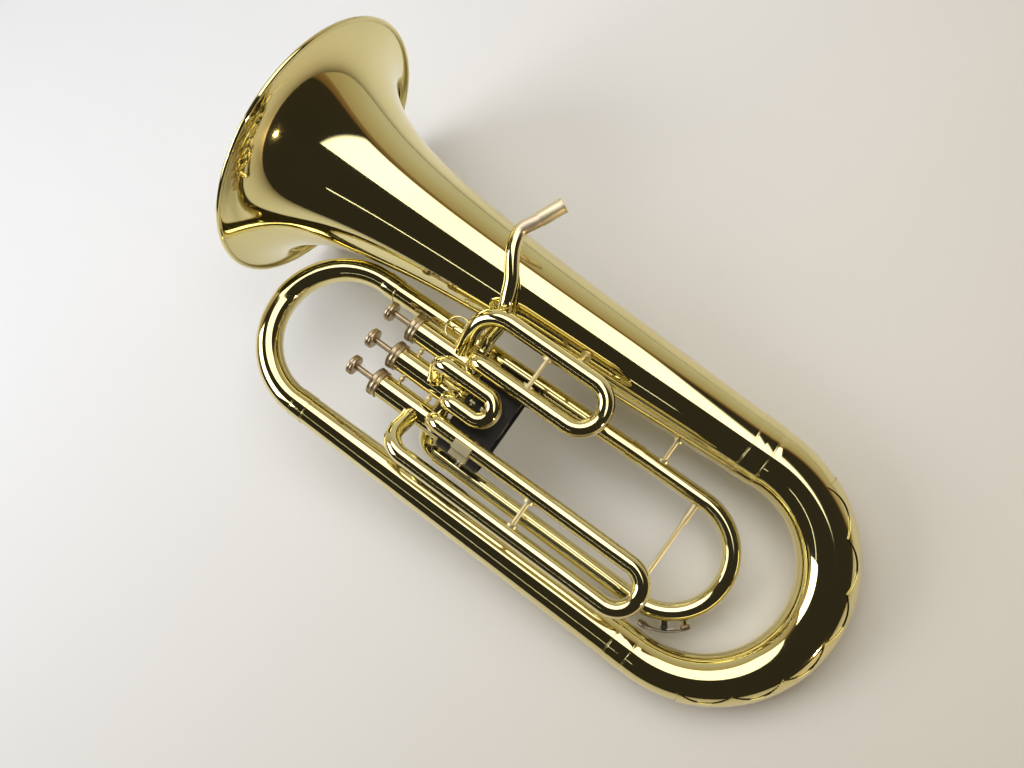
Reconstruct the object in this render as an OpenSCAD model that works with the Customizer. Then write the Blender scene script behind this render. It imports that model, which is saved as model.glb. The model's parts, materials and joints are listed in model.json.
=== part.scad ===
// Three-valve euphonium, the tenor member of the tuba family, lying on its back.
// All modules work in the horn frame. X is the bell's axis, with the mouth in the plane x = 0 and
// the tubing towards -X. +Y runs from the bell to the outer branch, and +Z is the front, where the
// valve slides are. A depth is a distance from the mouth towards -X. lay_down() turns the horn to
// the way it rests on a table, on its bell rim and its bottom bow. Sizes are in millimetres.

/* [Bell] */
// Diameter of the bell's mouth, over the rolled rim
mouth_d = 282; // [270:1:296]
// Thickness of the rolled rim
rim_d = 4.6; // [3.6:0.1:5.6]
// Depth at which the bell meets the bottom bow
bell_depth = 520; // [512:1:530]
// Diameter of the bell where it meets the bottom bow
throat_d = 62.5; // [61:0.5:66]
// Growth of the bell's radius for each millimetre of length, before the flare
bell_taper = 0.042; // [0.038:0.001:0.045]
// Length over which the flare opens
flare_reach = 46; // [42:1:49]
// How late the flare turns out: lower is later
flare_power = 0.76; // [0.72:0.01:0.8]
// Thickness of the sheet brass of bell, bows and branches
sheet = 0.6; // [0.5:0.05:0.8]

/* [Bows and branches] */
// Distance of the outer branch from the third valve
branch_off = 64.2; // [60:0.2:70]
// Length of the straight ends of the bottom bow
bow_lead = 17; // [13:1:22]
// Diameter of the bottom bow at the outer branch
bow_small_d = 40; // [38:0.5:42]
// Diameter of the outer branch at the top bow
branch_small_d = 29; // [28:0.5:31]
// Diameter of the top bow at the inner branch
top_bow_small_d = 23; // [22:0.5:24]
// Depth at which the top bow starts to turn
top_bow_depth = 134; // [130:1:140]
// Length of the straight ends of the top bow
top_bow_lead = 9; // [7:0.5:12]
// Distance of the inner branch from the bell's axis at the top bow
inner_branch_y = 70; // [69:0.5:74]
// How far the inner branch lies behind the bell's axis at the top bow
inner_branch_back = 14; // [12:0.5:18]
// Half length of the ferrules of the bows
ferrule_half = 10.5; // [7:0.5:12]
// Thickness of the ferrules
ferrule_t = 0.6; // [0.5:0.05:0.9]
// Thickness of the guard plate on the bottom bow
bow_guard_t = 0.7; // [0.5:0.1:1]
// Angle that the guard plate covers round the tube of the bottom bow, at its points
bow_guard_wrap = 124; // [100:2:140]
// Angle that the guard plate covers along the bottom bow
bow_guard_sweep = 136; // [110:2:150]
// Scallops along each edge of the guard plate
bow_guard_scallops = 6; // [4:1:8]
// Angle by which each edge of the guard plate dips between its points
bow_guard_dip = 20; // [10:1:26]

/* [Valves] */
// Distance between neighbouring valves
valve_pitch = 31.2; // [30.6:0.1:33]
// Distance of the first valve from the bell's axis
first_valve_y = 90.4; // [89:0.2:94]
// Height of the valves in front of the bell's axis
valve_z = 20; // [18:0.5:22]
// Diameter of the pistons
piston_d = 22; // [21:0.1:22.4]
// Radial clearance of a piston in its casing
piston_fit = 0.04; // [0.02:0.01:0.08]
// Wall of the valve casings
casing_wall = 1.3; // [1.1:0.05:1.5]
// Depth of the top of the valve caps
valve_top = 192; // [190:0.5:195]
// Depth of the bottom of the valves
valve_bottom = 321; // [318:0.5:326]
// Depth of the upper row of slide ports
upper_ports = 243; // [241:0.5:245]
// Depth of the lower row of slide ports
lower_ports = 268; // [266:0.5:270]
// Depth of the ports that join the valves to each other
cross_ports = 262; // [260:0.5:264]
// Travel of a valve
valve_travel = 16.5; // [14:0.25:17]
// Diameter of the top caps
top_cap_d = 28.6; // [28:0.1:29.6]
// Height of the top caps
top_cap_h = 10; // [8:0.5:12]
// Diameter of the bottom caps
bottom_cap_d = 26.8; // [26.4:0.1:28]
// Height of the bottom caps
bottom_cap_h = 10; // [8:0.5:12]
// Thickness of the end plates of the caps
cap_plate = 2.4; // [2:0.1:3]
// Diameter of the valve stems
stem_d = 6; // [5:0.1:7]
// Stem showing between a cap and its finger button
stem_show = 24; // [22:0.25:26]
// Diameter of the finger buttons
button_d = 20; // [18:0.5:22]
// Thickness of the finger buttons
button_t = 4.6; // [4:0.1:6]
// Wire of the valve springs
spring_wire = 1.2; // [1:0.05:1.4]
// Diameter of the valve springs, over the wire
spring_d = 17; // [15:0.5:18.5]

/* [Slide tubing] */
// Bore of the valve tubing
bore_d = 14.2; // [13.6:0.1:14.4]
// Wall of the drawn tubes
tube_wall = 0.5; // [0.4:0.02:0.6]
// Radial clearance of a slide leg in its sleeve
slide_fit = 0.05; // [0.02:0.01:0.09]
// Height of the valve slides in front of the bell's axis
slide_z = 56.5; // [56:0.5:60]
// Centre-line radius of the port elbows
elbow_r = 10.5; // [9.5:0.25:12]
// Gap that shows between a sleeve and the bow of its slide
slide_seam = 0.4; // [0.3:0.1:1]

/* [First valve slide] */
// Distance of the first slide's upper leg from the first valve, towards the bell
first_upper_off = 53.4; // [52:0.2:55]
// Distance of the first slide's lower leg from the first valve, towards the bell
first_lower_off = 8.2; // [8:0.1:9]
// Depth at which the first slide's crook leaves the first valve
first_crook_depth = 247.5; // [245:0.5:248]
// Centre-line radius of the first slide's wide crook
first_crook_r = 29; // [24:0.5:30]
// Depth of the ends of the first slide's sleeves
first_sleeve_depth = 358; // [350:1:370]
// Straight length at the bow of the first slide
first_bow_lead = 10; // [6:0.5:14]
// Depth that the first slide's legs reach up to
first_leg_depth = 300; // [292:1:306]
// Travel of the first slide
first_travel = 40; // [20:1:44]

/* [Second valve slide] */
// Distance of the second slide's upper leg from the second valve, towards the bell
second_upper_off = 20; // [19:0.1:21.5]
// Distance of the second slide's lower leg from the second valve, away from the bell
second_lower_off = 4.5; // [3.4:0.1:6]
// Depth of the ends of the second slide's sleeves
second_sleeve_depth = 293; // [290:0.5:298]
// Straight length at the bow of the second slide
second_bow_lead = 4; // [3:0.5:6]
// Length of the second slide's legs inside their sleeves
second_leg = 13; // [11:0.5:14]
// Travel of the second slide
second_travel = 9; // [5:0.5:10]

/* [Third valve slide] */
// Distance of the third slide's upper leg from the third valve, towards the bell
third_upper_off = 4.8; // [4:0.2:6]
// Distance of the third slide's lower leg from the third valve, away from the bell
third_lower_off = 37.2; // [36.4:0.2:38]
// Centre-line radius of the third slide's wide crook
third_crook_r = 22; // [18:0.5:24]
// Depth of the ends of the third slide's sleeves
third_sleeve_depth = 466; // [456:1:474]
// Straight length at the bow of the third slide
third_bow_lead = 17; // [10:0.5:20]
// Depth that the third slide's legs reach up to
third_leg_depth = 372; // [360:1:390]
// Travel of the third slide
third_travel = 60; // [30:1:64]

/* [Main tuning slide] */
// Bore of the tuning slide
tuning_bore_d = 15.6; // [15:0.1:16.2]
// How far the tuning slide lies behind the bell's axis
tuning_back = 10; // [9:0.5:12]
// Distance of the tuning slide's upper leg from the bell's axis
tuning_upper_y = 66; // [65:0.5:68]
// Distance of the tuning slide's lower leg from the third valve
tuning_lower_off = 25.2; // [24.4:0.2:26]
// Depth of the start of the tuning slide's upper sleeve
tuning_sleeve_top = 432; // [420:1:440]
// Depth of the ends of the tuning slide's sleeves
tuning_sleeve_depth = 500; // [494:1:504]
// Straight length at the bow of the tuning slide
tuning_bow_lead = 10; // [8:0.5:12]
// Depth that the tuning slide's legs reach up to
tuning_leg_depth = 446; // [440:1:452]
// Travel of the tuning slide
tuning_travel = 20; // [10:1:22]
// Diameter of the rod across the tuning slide
pull_rod_d = 4.6; // [4:0.1:5.4]
// Diameter of the sleeve on that rod
pull_sleeve_d = 7; // [6.2:0.1:8]
// Length of the sleeve on that rod
pull_sleeve_l = 19; // [14:0.5:26]

/* [Water key] */
// Angle of the water key's nipple along the tuning bow, from its lower leg
nipple_angle = 46; // [44:0.5:48]
// Angle of the water key's pivot along the tuning bow
pivot_angle = 30; // [29:0.5:31]
// Diameter of the pivot screw
pivot_d = 2; // [1.6:0.1:2.4]
// Running clearance of the pivot screw
pivot_fit = 0.05; // [0.02:0.01:0.1]
// Opening angle of the water key
key_swing = 10; // [6:0.5:11]

/* [Leadpipe] */
// Diameter of the leadpipe at the receiver
lead_small_d = 12; // [11.6:0.1:12.4]
// Diameter of the leadpipe at the first valve
lead_large_d = 15.2; // [14.8:0.1:15.4]
// Wall of the leadpipe
lead_wall = 0.8; // [0.6:0.05:1]
// Gap between the leadpipe and the bell
lead_gap = 0.9; // [0.8:0.1:1.2]
// Diameter of the mouthpiece receiver
receiver_d = 13.4; // [13.2:0.1:15]
// Bore of the mouthpiece receiver
receiver_bore_d = 11.4; // [11:0.1:11.8]
// Length of the mouthpiece receiver
receiver_l = 26; // [24:0.5:32]
// Depth of the leadpipe's end in the receiver
receiver_depth = 245.5; // [243:0.5:248]
// Distance of that end from the bell's axis, on the side away from the valves
receiver_side = 58.5; // [57:0.5:60]
// Height of that end in front of the bell's axis
receiver_front = 60; // [59:0.5:62]
// Depth of the leadpipe's bend beside the receiver
lead_bend_depth = 234.5; // [233:0.5:236]
// Distance of that bend from the bell's axis, on the side away from the valves
lead_bend_side = 38; // [37:0.5:39]
// Height of that bend in front of the bell's axis
lead_bend_front = 57.5; // [57:0.5:59]

/* [Hand guard and fittings] */
// Thickness of the leather of the hand guard
leather_t = 1.8; // [1.4:0.1:2.2]
// Height of the hand guard
hand_guard_h = 43; // [36:0.5:43]
// Diameter of the brace rods
brace_d = 4.4; // [3.6:0.1:5]
// Diameter of the feet of the braces
brace_foot_d = 11; // [9:0.5:12]
// Mean radius of the thumb ring
ring_r = 12; // [11.5:0.25:12.5]
// Wire of the thumb ring
ring_wire = 2.6; // [2.2:0.1:3]
// Outer width of the lyre socket
lyre_w = 8; // [7.6:0.1:9]
// Width of the square hole in the lyre socket
lyre_hole = 5; // [4.6:0.1:5.6]
// Length of the lyre socket
lyre_l = 18; // [15:0.5:22]
// Diameter of the lyre screw
lyre_screw_d = 3; // [2.6:0.1:3.4]

/* [Lying on a table] */
// Roll of the horn about its bell's axis, with the outer branch low
lie_roll = 4.5; // [0:0.1:8]

/* [Hidden] */
$fn = 64;

brass = "goldenrod";
nickel = "lightsteelblue";
black = [0.08, 0.08, 0.08];

// Gap between fixed pieces that are soldered or screwed together
seat = 0.05;
// Overlap of cutting shapes
cut = 1;

// Sizes of the slide tubing, from the inside out
bore_r = bore_d / 2;
leg_r = bore_r + tube_wall;
sleeve_ri = leg_r + slide_fit;
sleeve_r = sleeve_ri + tube_wall;
tuning_bore_r = tuning_bore_d / 2;
tuning_leg_r = tuning_bore_r + tube_wall;
tuning_sleeve_ri = tuning_leg_r + slide_fit;
tuning_sleeve_r = tuning_sleeve_ri + tube_wall;

// Sizes of the valves
casing_ri = piston_d / 2 + piston_fit;
casing_r = casing_ri + casing_wall;
port_reach = casing_r + 1.2;
casing_top = valve_top + cap_plate;
casing_bottom = valve_bottom - cap_plate;
stem_gap = 0.4;
felt_t = 2.2;
piston_top = casing_top + felt_t + stem_gap;
piston_neck = 15;
piston_bottom = casing_bottom - 30.6;
spring_turns = 7;

function at(depth, y, z) = [-depth, y, z];
function unit(v) = v / norm(v);
function mix(a, b, t) = a + (b - a) * t;
function valve_y(n) = first_valve_y + (n - 1) * valve_pitch;
branch_y = valve_y(3) + branch_off;

// Outer radius of the bell at a depth
mouth_r = mouth_d / 2;
lip_r = mouth_r - rim_d - seat;
lip_depth = rim_d / 2;
throat_r = throat_d / 2;
flare_r = lip_r - throat_r - bell_taper * (bell_depth - lip_depth);
function bell_r(depth) =
    let (u = max(depth - lip_depth, 0))
    throat_r + bell_taper * (bell_depth - depth) + flare_r * exp(-pow(u / flare_reach, flare_power));
function bell_slope(depth) = (bell_r(depth + 0.05) - bell_r(depth)) / 0.05;
// Depths along the bell, closer together towards the mouth
bell_steps = 44;
bell_depths = [for (i = [0:bell_steps]) lip_depth + (bell_depth - lip_depth) * pow(i / bell_steps, 2.2)];

// The bottom bow, from the bell to the outer branch
bow_r = branch_y / 2;
bow_turn_depth = bell_depth + bow_lead;
bow_small_r = bow_small_d / 2;
bow_steps = 28;
bow_sides = 36;

// The top bow, from the outer branch to the inner branch
branch_small_r = branch_small_d / 2;
top_bow_small_r = top_bow_small_d / 2;
top_bow_end = top_bow_depth + top_bow_lead;
top_outer = at(top_bow_depth, branch_y, 0);
top_inner = at(top_bow_depth, inner_branch_y, -inner_branch_back);
top_steps = 20;
top_sides = 28;

// The legs of the slides
first_upper_y = valve_y(1) - first_upper_off;
first_lower_y = valve_y(1) - first_lower_off;
second_upper_y = valve_y(2) - second_upper_off;
second_lower_y = valve_y(2) + second_lower_off;
third_upper_y = valve_y(3) - third_upper_off;
third_lower_y = valve_y(3) + third_lower_off;
tuning_lower_y = valve_y(3) + tuning_lower_off;
tuning_z = -tuning_back;
tuning_mid_y = (tuning_upper_y + tuning_lower_y) / 2;
tuning_r = (tuning_lower_y - tuning_upper_y) / 2;
tuning_turn_depth = tuning_sleeve_depth + tuning_bow_lead;
outlet_r = 16;

// Points of a half turn from a to b, which bulges along X by side times its radius
function half_turn(a, b, side, steps) =
    [for (k = [0:steps]) let (t = 180 * k / steps)
        (a + b) / 2 + (a - b) / 2 * cos(t) + [side * norm(a - b) / 2 * sin(t), 0, 0]];
// Directions of travel along the same half turn
function half_turn_dirs(a, b, side, steps) =
    [for (k = [0:steps]) let (t = 180 * k / steps)
        unit((b - a) / 2 * sin(t) + [side * norm(a - b) / 2 * cos(t), 0, 0])];

// Length travelled up to each point of a path
function run_lengths(p, i = 0, sum = 0) =
    i >= len(p) ? [] :
    let (s = i == 0 ? 0 : sum + norm(p[i] - p[i - 1])) concat([s], run_lengths(p, i + 1, s));
function path_length(p) = let (s = run_lengths(p)) s[len(s) - 1];
// Radii that change evenly along a path
function even_radii(p, r0, r1) =
    let (l = path_length(p)) [for (v = run_lengths(p)) mix(r0, r1, v / l)];
// Normals carried along a path without twist
function carried(dirs, n, i = 0) =
    i >= len(dirs) ? [] :
    let (m = unit(n - (n * dirs[i]) * dirs[i])) concat([m], carried(dirs, m, i + 1));
// Directions of a path of points
function path_dirs(p) =
    [for (i = [0:len(p) - 1]) unit(p[min(i + 1, len(p) - 1)] - p[max(i - 1, 0)])];
// Smooth curve through a few points
function curve_point(p, i, t) =
    let (a = p[max(i - 1, 0)], b = p[i], c = p[i + 1], d = p[min(i + 2, len(p) - 1)])
    (2 * b + (c - a) * t + (2 * a - 5 * b + 4 * c - d) * t * t + (3 * b - a - 3 * c + d) * t * t * t) / 2;
function curve(p, steps) =
    concat([for (i = [0:len(p) - 2]) for (k = [0:steps - 1]) curve_point(p, i, k / steps)], [p[len(p) - 1]]);

// Wall swept along a path: radii are outside, and spans are the angles that an open wall covers round
// the path at each place, half on each side of the normal n
module swept_wall(p, dirs, n, radii, wall, sides, spans = []) {
    closed = len(spans) == 0;
    ring = closed ? sides : sides + 1;
    normals = carried(dirs, n);
    points = [for (i = [0:len(p) - 1]) for (r = [radii[i], radii[i] - wall]) for (j = [0:ring - 1])
        let (t = closed ? 360 * j / sides : spans[i] * (j / sides - 0.5))
        p[i] + r * (cos(t) * normals[i] + sin(t) * cross(dirs[i], normals[i]))];
    function out(i, j) = i * 2 * ring + j % ring;
    function in(i, j) = i * 2 * ring + ring + j % ring;
    last = len(p) - 1;
    faces = concat(
        [for (i = [0:last - 1]) for (j = [0:sides - 1]) each [
            [out(i, j), out(i + 1, j), out(i + 1, j + 1)], [out(i, j), out(i + 1, j + 1), out(i, j + 1)],
            [in(i, j), in(i + 1, j + 1), in(i + 1, j)], [in(i, j), in(i, j + 1), in(i + 1, j + 1)]]],
        [for (j = [0:sides - 1]) each [
            [out(0, j), out(0, j + 1), in(0, j + 1)], [out(0, j), in(0, j + 1), in(0, j)],
            [out(last, j), in(last, j + 1), out(last, j + 1)], [out(last, j), in(last, j), in(last, j + 1)]]],
        closed ? [] : [for (i = [0:last - 1]) each [
            [out(i, 0), in(i, 0), in(i + 1, 0)], [out(i, 0), in(i + 1, 0), out(i + 1, 0)],
            [out(i, sides), in(i + 1, sides), in(i, sides)],
            [out(i, sides), out(i + 1, sides), in(i + 1, sides)]]]);
    polyhedron(points, faces);
}

// Solid bar of radius r swept along a path
module swept_bar(p, n, r, sides) {
    dirs = path_dirs(p);
    normals = carried(dirs, n);
    last = len(p) - 1;
    points = [for (i = [0:last]) for (j = [0:sides - 1]) let (t = 360 * j / sides)
        p[i] + r * (cos(t) * normals[i] + sin(t) * cross(dirs[i], normals[i]))];
    function on(i, j) = i * sides + j % sides;
    polyhedron(points, concat(
        [for (i = [0:last - 1]) for (j = [0:sides - 1]) each [
            [on(i, j), on(i + 1, j), on(i + 1, j + 1)], [on(i, j), on(i + 1, j + 1), on(i, j + 1)]]],
        [[for (j = [0:sides - 1]) on(0, j)], [for (j = [sides - 1:-1:0]) on(last, j)]]));
}

// Frame with its origin at p and its Z along d
module toward(p, d) {
    z = unit(d);
    x = unit(cross(abs(z[0]) < 0.9 ? [1, 0, 0] : [0, 1, 0], z));
    y = cross(z, x);
    multmatrix([[x[0], y[0], z[0], p[0]], [x[1], y[1], z[1], p[1]], [x[2], y[2], z[2], p[2]], [0, 0, 0, 1]])
        children();
}
// Frame whose Z is the bell's axis, measured as depth, and whose X is the front
module down_bell() rotate([0, -90, 0]) children();
// Frame of valve n, with Z as depth
module down_valve(n) translate([0, valve_y(n), valve_z]) rotate([0, -90, 0]) children();
// Frame at a port of valve n, with Z out of the port; angles turn from the front towards +Y
module at_port(n, depth, angle) translate(at(depth, valve_y(n), valve_z)) rotate([-angle, 0, 0]) children();
// Angle at which a port faces a slide leg
function port_angle(n, y, z) = atan2(y - valve_y(n), z - valve_z);

module rod(p, q, r) toward(p, q - p) cylinder(h = norm(q - p), r = r);
module pipe(p, q, r, ri) difference() {
    rod(p, q, r);
    rod(p - cut * unit(q - p), q + cut * unit(q - p), ri);
}
module cone_pipe(p, q, r0, r1, wall) toward(p, q - p) difference() {
    h = norm(q - p);
    cylinder(h = h, r1 = r0, r2 = r1);
    grow = (r1 - r0) / h * cut;
    translate([0, 0, -cut]) cylinder(h = h + 2 * cut, r1 = r0 - wall - grow, r2 = r1 - wall + grow);
}

// Angle turned at corner i of a route, and the length that its bend takes from the runs beside it
function corner_turn(p, i) = acos(unit(p[i] - p[i - 1]) * unit(p[i + 1] - p[i]));
function setback(p, bends, i) =
    i == 0 || i == len(p) - 1 ? 0 : bends[i - 1] * tan(corner_turn(p, i) / 2);
// Round bar along a route with a round bend at each inner corner
module bent_bar(p, bends, r) {
    for (i = [0:len(p) - 2]) {
        d = unit(p[i + 1] - p[i]);
        start = p[i] + d * setback(p, bends, i);
        end = p[i + 1] - d * setback(p, bends, i + 1);
        if (norm(end - start) > 0.01) rod(start, end, r);
    }
    for (i = [1:len(p) - 2]) {
        a = unit(p[i] - p[i - 1]);
        b = unit(p[i + 1] - p[i]);
        k = unit(cross(a, b));
        x = -cross(k, a);
        o = p[i] - a * setback(p, bends, i) - bends[i - 1] * x;
        multmatrix([for (i = [0:2]) [x[i], a[i], k[i], o[i]]])
            rotate_extrude(angle = corner_turn(p, i)) translate([bends[i - 1], 0]) circle(r = r);
    }
}
function stretched(p) =
    let (n = len(p) - 1)
    concat(
        [p[0] - cut * unit(p[1] - p[0])],
        [for (i = [1:n - 1]) p[i]],
        [p[n] + cut * unit(p[n] - p[n - 1])]);
// Quarter bend of a tube that comes in along Z at the origin and leaves towards -X
module quarter_bend(r, tube_r, hole_r) translate([-r, 0, 0]) rotate([90, 0, 0]) rotate_extrude(angle = 90)
    translate([r, 0]) ring(tube_r, hole_r);
module ring(r, ri) difference() {
    circle(r = r);
    circle(r = ri);
}
module tube(h, r, ri) linear_extrude(h) ring(r, ri);

// Ring over two tubes that meet in its middle, with their radii at its lower end, middle and upper end
module ferrule(half, r) rotate_extrude() polygon([
    [r[0] + seat, -half], [r[0] + ferrule_t, -half], [r[1] + ferrule_t, 0], [r[2] + ferrule_t, half],
    [r[2] + seat, half], [r[1] + seat, 0]]);

// Bell and bows

module bell() color(brass) down_bell() rotate_extrude($fn = 128) polygon(concat(
    [for (s = bell_depths) [bell_r(s), s]],
    [for (i = [bell_steps:-1:0])
        let (s = bell_depths[i], m = bell_slope(s), q = sqrt(1 + m * m))
        [bell_r(s) - sheet / q, s + (i == bell_steps ? 0 : sheet * m / q)]]));

module rim_wire() color(brass) down_bell() translate([0, 0, rim_d / 2])
    rotate_extrude($fn = 128) translate([mouth_r - rim_d / 2, 0]) circle(d = rim_d, $fn = 32);

module bell_ferrule() color(brass) translate(at(bell_depth, 0, 0)) rotate([0, -90, 0])
    ferrule(ferrule_half, [bell_r(bell_depth - ferrule_half), bell_r(bell_depth), bell_r(bell_depth)]);

// Path of the bottom bow with its straight ends
bow_a = at(bow_turn_depth, 0, 0);
bow_b = at(bow_turn_depth, branch_y, 0);
bow_path = concat([at(bell_depth + seat, 0, 0)], half_turn(bow_a, bow_b, -1, bow_steps),
    [at(bell_depth + seat, branch_y, 0)]);
bow_dirs = concat([[-1, 0, 0]], half_turn_dirs(bow_a, bow_b, -1, bow_steps), [[1, 0, 0]]);
bow_radii = even_radii(bow_path, throat_r, bow_small_r);
// Change of radius for each millimetre along the bottom bow and the outer branch
bow_shrink = (throat_r - bow_small_r) / path_length(bow_path);
// Radius of the bottom bow at an angle along its turn
function bow_radius(turn) = throat_r - bow_shrink * (bow_lead + bow_r * turn * PI / 180);
branch_shrink = (bow_small_r - branch_small_r) / (bell_depth - top_bow_end);
module bottom_bow() color(brass) swept_wall(bow_path, bow_dirs, [0, -1, 0], bow_radii, sheet, bow_sides);

// Guard plate on the outside of the bow, whose edges dip in arcs between points
guard_seat = 0.32;
module bow_guard() color(brass) {
    per_scallop = 6;
    steps = bow_guard_scallops * per_scallop;
    centre = (bow_a + bow_b) / 2;
    turns = [for (i = [0:steps]) 90 + bow_guard_sweep * (i / steps - 0.5)];
    swept_wall(
        [for (t = turns) centre + bow_r * [-sin(t), -cos(t), 0]],
        [for (t = turns) [-cos(t), sin(t), 0]],
        [0, -1, 0],
        [for (t = turns) bow_radius(t) + guard_seat + bow_guard_t], bow_guard_t, 10,
        [for (i = [0:steps])
            bow_guard_wrap - 2 * bow_guard_dip * sin(180 * (i % per_scallop) / per_scallop)]);
}

module branch_ferrule() color(brass) translate(at(bell_depth, branch_y, 0)) rotate([0, -90, 0])
    ferrule(ferrule_half,
        [bow_small_r - branch_shrink * ferrule_half, bow_small_r, bow_small_r + bow_shrink * ferrule_half]);

module outer_branch() color(brass)
    cone_pipe(at(bell_depth - seat, branch_y, 0), at(top_bow_end + seat, branch_y, 0),
        bow_small_r, branch_small_r, sheet);

top_path = concat([at(top_bow_end - seat, branch_y, 0)], half_turn(top_outer, top_inner, 1, top_steps),
    [at(top_bow_end - seat, inner_branch_y, -inner_branch_back)]);
top_dirs = concat([[1, 0, 0]], half_turn_dirs(top_outer, top_inner, 1, top_steps), [[-1, 0, 0]]);
top_shrink = (branch_small_r - top_bow_small_r) / path_length(top_path);
module top_bow() color(brass)
    swept_wall(top_path, top_dirs, [0, 1, 0], even_radii(top_path, branch_small_r, top_bow_small_r), sheet,
        top_sides);

// Room in the ferrules of the inner branch, which leans a little
lean_slack = 0.25;
module top_bow_ferrules() color(brass) {
    half = top_bow_lead - 1;
    translate(at(top_bow_end, branch_y, 0)) rotate([0, -90, 0])
        ferrule(half, [branch_small_r, branch_small_r, branch_small_r + branch_shrink * half]);
    r = top_bow_small_r + lean_slack;
    translate(at(top_bow_end, inner_branch_y, -inner_branch_back)) rotate([0, -90, 0])
        ferrule(half, [r + top_shrink * half, r, r]);
}

inner_top = at(top_bow_end + seat, inner_branch_y, -inner_branch_back);
inner_bottom = at(tuning_sleeve_top - seat, tuning_upper_y, tuning_z);
module inner_branch() color(brass)
    cone_pipe(inner_top, inner_bottom, top_bow_small_r, tuning_sleeve_r, sheet);

// Main tuning slide

outlet_angle = port_angle(3, tuning_lower_y, tuning_z);
outlet_leg_depth = cross_ports + outlet_r;
module tuning_sleeves() color(brass) {
    pipe(at(tuning_sleeve_top, tuning_upper_y, tuning_z), at(tuning_sleeve_depth, tuning_upper_y, tuning_z),
        tuning_sleeve_r, tuning_sleeve_ri);
    pipe(at(outlet_leg_depth, tuning_lower_y, tuning_z), at(tuning_sleeve_depth, tuning_lower_y, tuning_z),
        tuning_sleeve_r, tuning_sleeve_ri);
}

module sleeve_ferrules() color(brass) {
    half = 7;
    r = tuning_sleeve_r;
    translate(at(tuning_sleeve_top, tuning_upper_y, tuning_z)) rotate([0, -90, 0])
        ferrule(half, [r + 2 * lean_slack, r + lean_slack, r + lean_slack]);
    translate(at(outlet_leg_depth + half, tuning_lower_y, tuning_z)) rotate([0, -90, 0])
        ferrule(half, [r, r, r]);
}

// Tube from a port of valve n to the leg of a slide at y and z
module elbow(n, depth, y, z, r) at_port(n, depth, port_angle(n, y, z)) {
    turn_at = norm([y - valve_y(n), z - valve_z]) - r;
    translate([0, 0, port_reach]) tube(turn_at - port_reach, sleeve_r, bore_r);
    translate([0, 0, turn_at]) quarter_bend(r, sleeve_r, bore_r);
}

module outlet_elbow() color(brass) elbow(3, cross_ports, tuning_lower_y, tuning_z, outlet_r);

// Legs and bow of a slide: the legs reach up to tops[0] and tops[1] inside the sleeves
module slide_tube(ys, z, sleeve_depth, lead, tops, leg_radius, bow_radius, bore_radius) {
    r = (ys[1] - ys[0]) / 2;
    start = sleeve_depth + slide_seam;
    bottom = sleeve_depth + lead + r;
    bow_route = [at(start, ys[0], z), at(bottom, ys[0], z), at(bottom, ys[1], z), at(start, ys[1], z)];
    bore_route = [at(tops[0], ys[0], z), at(bottom, ys[0], z), at(bottom, ys[1], z), at(tops[1], ys[1], z)];
    difference() {
        union() {
            bent_bar(bow_route, [r, r], bow_radius);
            for (k = [0, 1]) rod(at(tops[k], ys[k], z), at(start + slide_seam, ys[k], z), leg_radius);
        }
        bent_bar(stretched(bore_route), [r, r], bore_radius);
    }
}

module tuning_slide() color(brass)
    slide_tube([tuning_upper_y, tuning_lower_y], tuning_z, tuning_sleeve_depth, tuning_bow_lead,
        [tuning_leg_depth, tuning_leg_depth], tuning_leg_r, tuning_sleeve_r, tuning_bore_r);

pull_rod_depth = tuning_sleeve_depth + tuning_bow_lead / 2 + slide_seam;
module pull_rod() color(brass) difference() {
    y0 = tuning_upper_y + tuning_sleeve_r;
    y1 = tuning_lower_y - tuning_sleeve_r;
    foot_r = pull_sleeve_d / 2 + 0.6;
    foot_l = 1.4;
    union() {
        rod(at(pull_rod_depth, y0 - cut, tuning_z), at(pull_rod_depth, y1 + cut, tuning_z), pull_rod_d / 2);
        rod(at(pull_rod_depth, y0 - cut, tuning_z), at(pull_rod_depth, y0 + pull_sleeve_l, tuning_z),
            pull_sleeve_d / 2);
        rod(at(pull_rod_depth, y0 - cut, tuning_z), at(pull_rod_depth, y0 + foot_l, tuning_z), foot_r);
        rod(at(pull_rod_depth, y1 - foot_l, tuning_z), at(pull_rod_depth, y1 + cut, tuning_z), foot_r);
    }
    for (y = [tuning_upper_y, tuning_lower_y])
        rod(at(tuning_sleeve_depth - cut, y, tuning_z), at(tuning_turn_depth + cut, y, tuning_z),
            tuning_sleeve_r + seat);
}

// Water key, in the plane of the tuning bow

nipple_r = 2.6;
nipple_h = 3.5;
cork_t = 2.4;
cork_r = 4;
key_z_half = 2.6;
key_gap = 0.3;
pivot_out = tuning_r + tuning_sleeve_r + 4.6;
// Frame on the tuning bow at an angle from its lower leg, with Z out of the bow and Y along the horn's Z
module on_tuning_bow(angle) translate(at(tuning_turn_depth, tuning_mid_y, tuning_z))
    rotate([0, 0, 90 + angle]) rotate([90, 0, 90]) children();

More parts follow.
